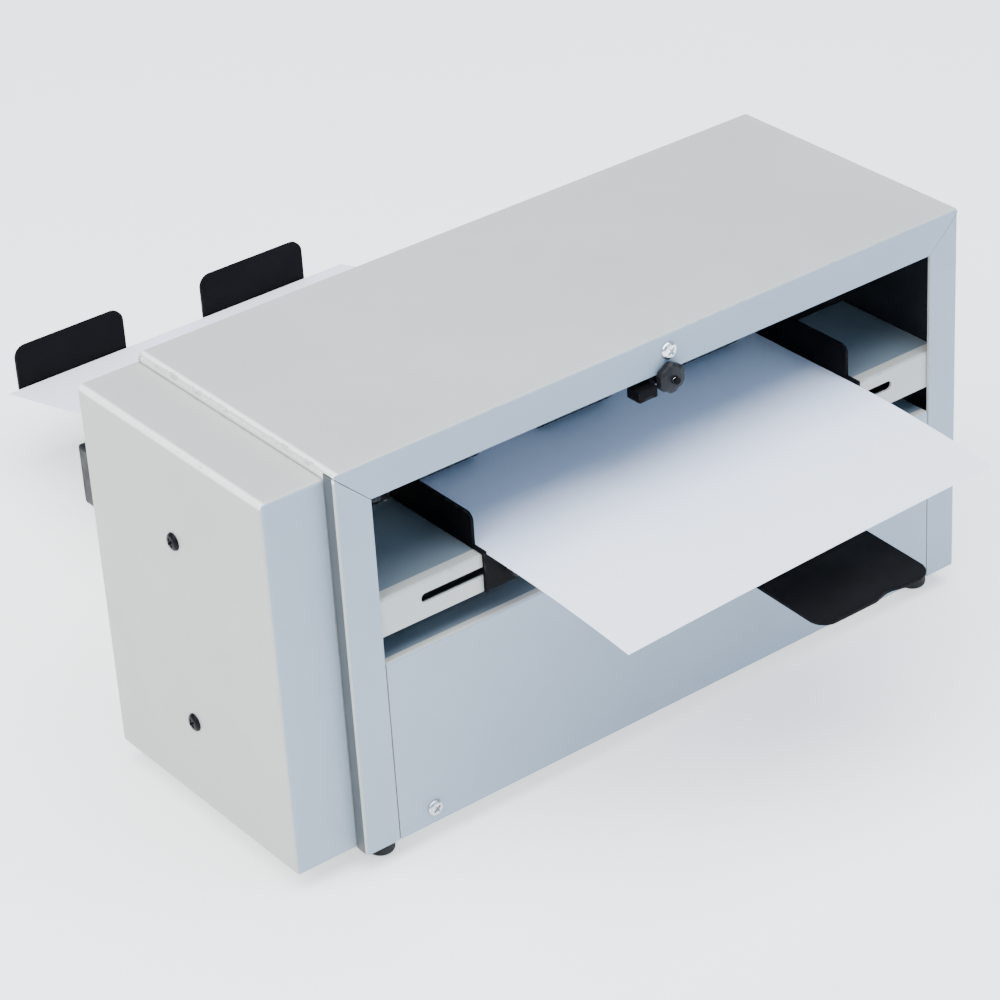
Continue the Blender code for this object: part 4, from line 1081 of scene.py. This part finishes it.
def sheet_surface(name, node, position, columns, rows, body):
    """Thin card from a function of two shares, across and along."""
    shape = bmesh.new()
    grid = [[shape.verts.new(position(column / columns, row / rows)) for column in range(columns + 1)]
            for row in range(rows + 1)]
    for lower, upper in zip(grid, grid[1:]):
        for column in range(columns):
            shape.faces.new((lower[column], lower[column + 1], upper[column + 1], upper[column]))
    piece = new_piece(name, shape)
    if piece.data.polygons[0].normal.z < 0:
        piece.data.flip_normals()
    thick = piece.modifiers.new("thickness", "SOLIDIFY")
    thick.thickness = CARD_STOCK
    thick.offset = -1
    dress(piece, CARD, body, [node])


def sheets():
    """The sheet being fed, which droops in front, and the sheet that lies in the catch tray."""
    low, high = housing_box("feed_sheet")

    def fed(across, along):
        x = low.x + (high.x - low.x) * across
        y = low.y + (high.y - low.y) * along
        outside = max(0.0, -y) / -low.y
        y -= (0.0035 - 0.0075 * across) * outside
        curl = 0.0008 * (2 * across - 1) ** 2 * outside
        return Vector((x, y, high.z - 0.0050 * outside ** 2 - curl))

    sheet_surface("fed_card", "feed_sheet", fed, 24, 60, "fed_stock")
    low, high = housing_box("caught_sheet")

    def caught(across, along):
        x = low.x + (high.x - low.x) * across
        y = low.y + (high.y - low.y) * along
        lift = 0.0006 * sin(pi * along) * (2 * across - 1) ** 2
        return Vector((x, y, tray_height(y) + GAP + CARD_STOCK + lift))

    sheet_surface("caught_card", "caught_sheet", caught, 16, 40, "caught_stock")


# Rollers and knives -----------------------------------------------------------------------------


def shafts():
    """Shafts with rubber-sleeved rollers or ground knife discs, one set per driven shaft."""
    for kind, add_discs in (("feed", rollers), ("knife", knives)):
        for level in ("upper", "middle", "lower"):
            node = "{}_{}_shaft".format(level, kind)
            body = "{}_{}".format(level, kind)
            low, high = housing_box(node)
            y, z = (low.y + high.y) / 2, (low.z + high.z) / 2
            length = high.x - low.x
            profile = [(0.0, length), (SHAFT_RADIUS, length), (SHAFT_RADIUS, 0.0), (0.0, 0.0)]
            bar = lathe(node + "_bar", (low.x, y, z), "X", profile, 48, 0.0004)
            dress(bar, TURNED_STEEL, body, [node])
            add_discs(level, body, y, z, (high.z - low.z) / 2)


def rollers(level, body, y, z, radius):
    """Rubber sleeves along a feed shaft, each between two steel collars."""
    for index, x in enumerate(ROLLER_X):
        start = x - ROLLER_LENGTH / 2
        name = "{}_roller_{}".format(level, index + 1)
        sleeve = lathe(name, (start, y, z), "X", roller_profile(radius), 72, 0.0003)
        dress(sleeve, ROLLER_RUBBER, body)
        for end, offset in (("left", -COLLAR_LENGTH), ("right", ROLLER_LENGTH)):
            name = "{}_collar_{}_{}".format(level, index + 1, end)
            profile = ring_profile(COLLAR_RADIUS, COLLAR_LENGTH)
            collar = lathe(name, (start + offset, y, z), "X", profile, 48, 0.0003)
            dress(collar, TURNED_STEEL, body)


def knives(level, body, y, z, radius):
    """Knife discs bevelled on both faces along a knife shaft, each beside its hub."""
    half, land = KNIFE_WIDTH / 2, 0.0001
    bevelled = radius - KNIFE_BEVEL
    profile = [
        (SHAFT_RADIUS, KNIFE_WIDTH), (bevelled, KNIFE_WIDTH), (radius, half + land),
        (radius, half - land), (bevelled, 0.0), (SHAFT_RADIUS, 0.0), (SHAFT_RADIUS, KNIFE_WIDTH),
    ]
    for index, x in enumerate(KNIFE_X):
        name = "{}_knife_{}".format(level, index + 1)
        disc = lathe(name, (x - half, y, z), "X", profile, 72, 0.0001)
        dress(disc, KNIFE_STEEL, body)
        name = "{}_knife_hub_{}".format(level, index + 1)
        hub = lathe(name, (x + half, y, z), "X", ring_profile(HUB_RADIUS, HUB_LENGTH), 48, 0.0003)
        dress(hub, TURNED_STEEL, body)


def ring_profile(outer, length):
    """Closed profile of a ring that fits on a shaft."""
    inner = SHAFT_RADIUS
    return [(inner, length), (outer, length), (outer, 0.0), (inner, 0.0), (inner, length)]


def roller_profile(radius):
    """Closed profile of a rubber sleeve with shallow grooves."""
    deep, wide, narrow = radius - 0.0005, 0.0007, 0.0003
    points = [(SHAFT_RADIUS, ROLLER_LENGTH), (radius, ROLLER_LENGTH)]
    for step in range(ROLLER_GROOVES):
        middle = ROLLER_LENGTH - ROLLER_LENGTH * (step + 0.5) / ROLLER_GROOVES
        points.extend(((radius, middle + wide), (deep, middle + narrow)))
        points.extend(((deep, middle - narrow), (radius, middle - wide)))
    points.extend(((radius, 0.0), (SHAFT_RADIUS, 0.0), (SHAFT_RADIUS, ROLLER_LENGTH)))
    return points


# Carried-over frame nodes -----------------------------------------------------------------------


def carried_over():
    """Materials of the nodes that show as the frame has them."""
    finishes = {
        PLATE_BLACK: ("frame_plate_left", "frame_plate_right"),
        ZINC: ("tie_rod_front", "tie_rod_rear", "tie_rod_upper",
               "cover_post_upper", "cover_post_lower", "motor_body"),
        NYLON: ("idler_gear", "upper_feed_gear", "middle_feed_gear", "lower_feed_gear",
                "upper_knife_gear", "middle_knife_gear", "lower_knife_gear"),
        TURNED_STEEL: ("idler_shaft", "motor_shaft"),
        RUBBER: ("drive_belt",),
        PLASTIC: ("mains_inlet", "switch_frame", "motor_capacitor"),
        ROCKER_PLASTIC: ("switch_rocker",),
    }
    for material, names in finishes.items():
        for name in names:
            refinish(name, material)


# Stage ------------------------------------------------------------------------------------------


def floor():
    """Plain pale floor that glows a little, so that it stays pale beyond the lights."""
    shape = bmesh.new()
    bmesh.ops.create_grid(shape, x_segments=2, y_segments=2, size=6.0)
    mesh = bpy.data.meshes.new("floor")
    shape.to_mesh(mesh)
    shape.free()
    piece = bpy.data.objects.new("floor", mesh)
    piece.location = (0.0, 0.0, FLOOR_Z - 0.0001)
    COLLECTION.objects.link(piece)
    n = Nodes("floor_paper")
    cloud = n.noise(3.0, 3.0)
    n.set("Base Color", n.mix(n.span(cloud, 0.3, 0.7), (0.86, 0.86, 0.865), (0.88, 0.88, 0.88)))
    n.set("Roughness", n.span(cloud, 0.3, 0.7, 0.75, 0.85))
    n.set("Emission Color", (1.0, 1.0, 1.0, 1.0))
    n.set("Emission Strength", 0.9)
    n.set("Normal", n.bump(n.noise(500.0, 2.0), 0.0001, 0.1))
    mesh.materials.append(n.material)


def area_light(name, azimuth, elevation, distance, size, power, colour):
    """Square soft box aimed at the middle of the housing; azimuth 0 is in front, -90 at the left."""
    light = bpy.data.lights.new(name, "AREA")
    light.shape = "SQUARE"
    light.size = size
    light.energy = power
    light.color = colour
    piece = bpy.data.objects.new(name, light)
    target = at(LENGTH / 2, DEPTH / 2, HEIGHT / 2)
    turn, rise = radians(azimuth), radians(elevation)
    away = Vector((sin(turn) * cos(rise), -cos(turn) * cos(rise), sin(rise)))
    piece.location = target + away * distance
    piece.rotation_euler = (-away).to_track_quat("-Z", "Y").to_euler()
    COLLECTION.objects.link(piece)


def lights():
    """Key light from the left, a cool one in front, one overhead, and a pale blue surround."""
    area_light("key", -84.0, 46.0, 2.4, 1.8, 74.0, (1.0, 0.985, 0.935))
    area_light("front", 20.0, 30.0, 2.6, 2.0, 20.0, (0.42, 0.70, 1.0))
    area_light("top", 5.0, 82.0, 2.4, 2.2, 108.0, (1.0, 0.995, 0.98))
    world = bpy.data.worlds.new("studio")
    world.use_nodes = True
    background = world.node_tree.nodes["Background"]
    background.inputs["Color"].default_value = (0.55, 0.77, 1.0, 1.0)
    background.inputs["Strength"].default_value = 0.85
    bpy.context.scene.world = world


def camera():
    """Camera at the photograph's viewing angle, turned by azimuth, elevation and a slight roll."""
    azimuth, elevation, roll = radians(36.083), radians(30.757), radians(-3.629)
    place = at(-0.66539, -1.02743, 0.90358)
    view = Vector((cos(elevation) * sin(azimuth), cos(elevation) * cos(azimuth), -sin(elevation)))
    level = view.cross(Vector((0.0, 0.0, 1.0))).normalized()
    rise = level.cross(view)
    right = level * cos(roll) + rise * sin(roll)
    up = right.cross(view)
    data = bpy.data.cameras.new("camera")
    data.sensor_width = 36.0
    data.lens = 124.78
    data.clip_end = 50.0
    piece = bpy.data.objects.new("camera", data)
    turn = Matrix((right, up, -view)).transposed().to_4x4()
    piece.matrix_world = Matrix.Translation(place) @ turn
    COLLECTION.objects.link(piece)
    bpy.context.scene.camera = piece


def main():
    side_panels()
    top_cover()
    lower_panels()
    end_cover()
    underside()
    screws()
    feet()
    feed_table()
    side_guides()
    hold_down()
    rear_tray()
    catch_plate()
    sheets()
    shafts()
    carried_over()
    floor()
    lights()
    camera()


main()
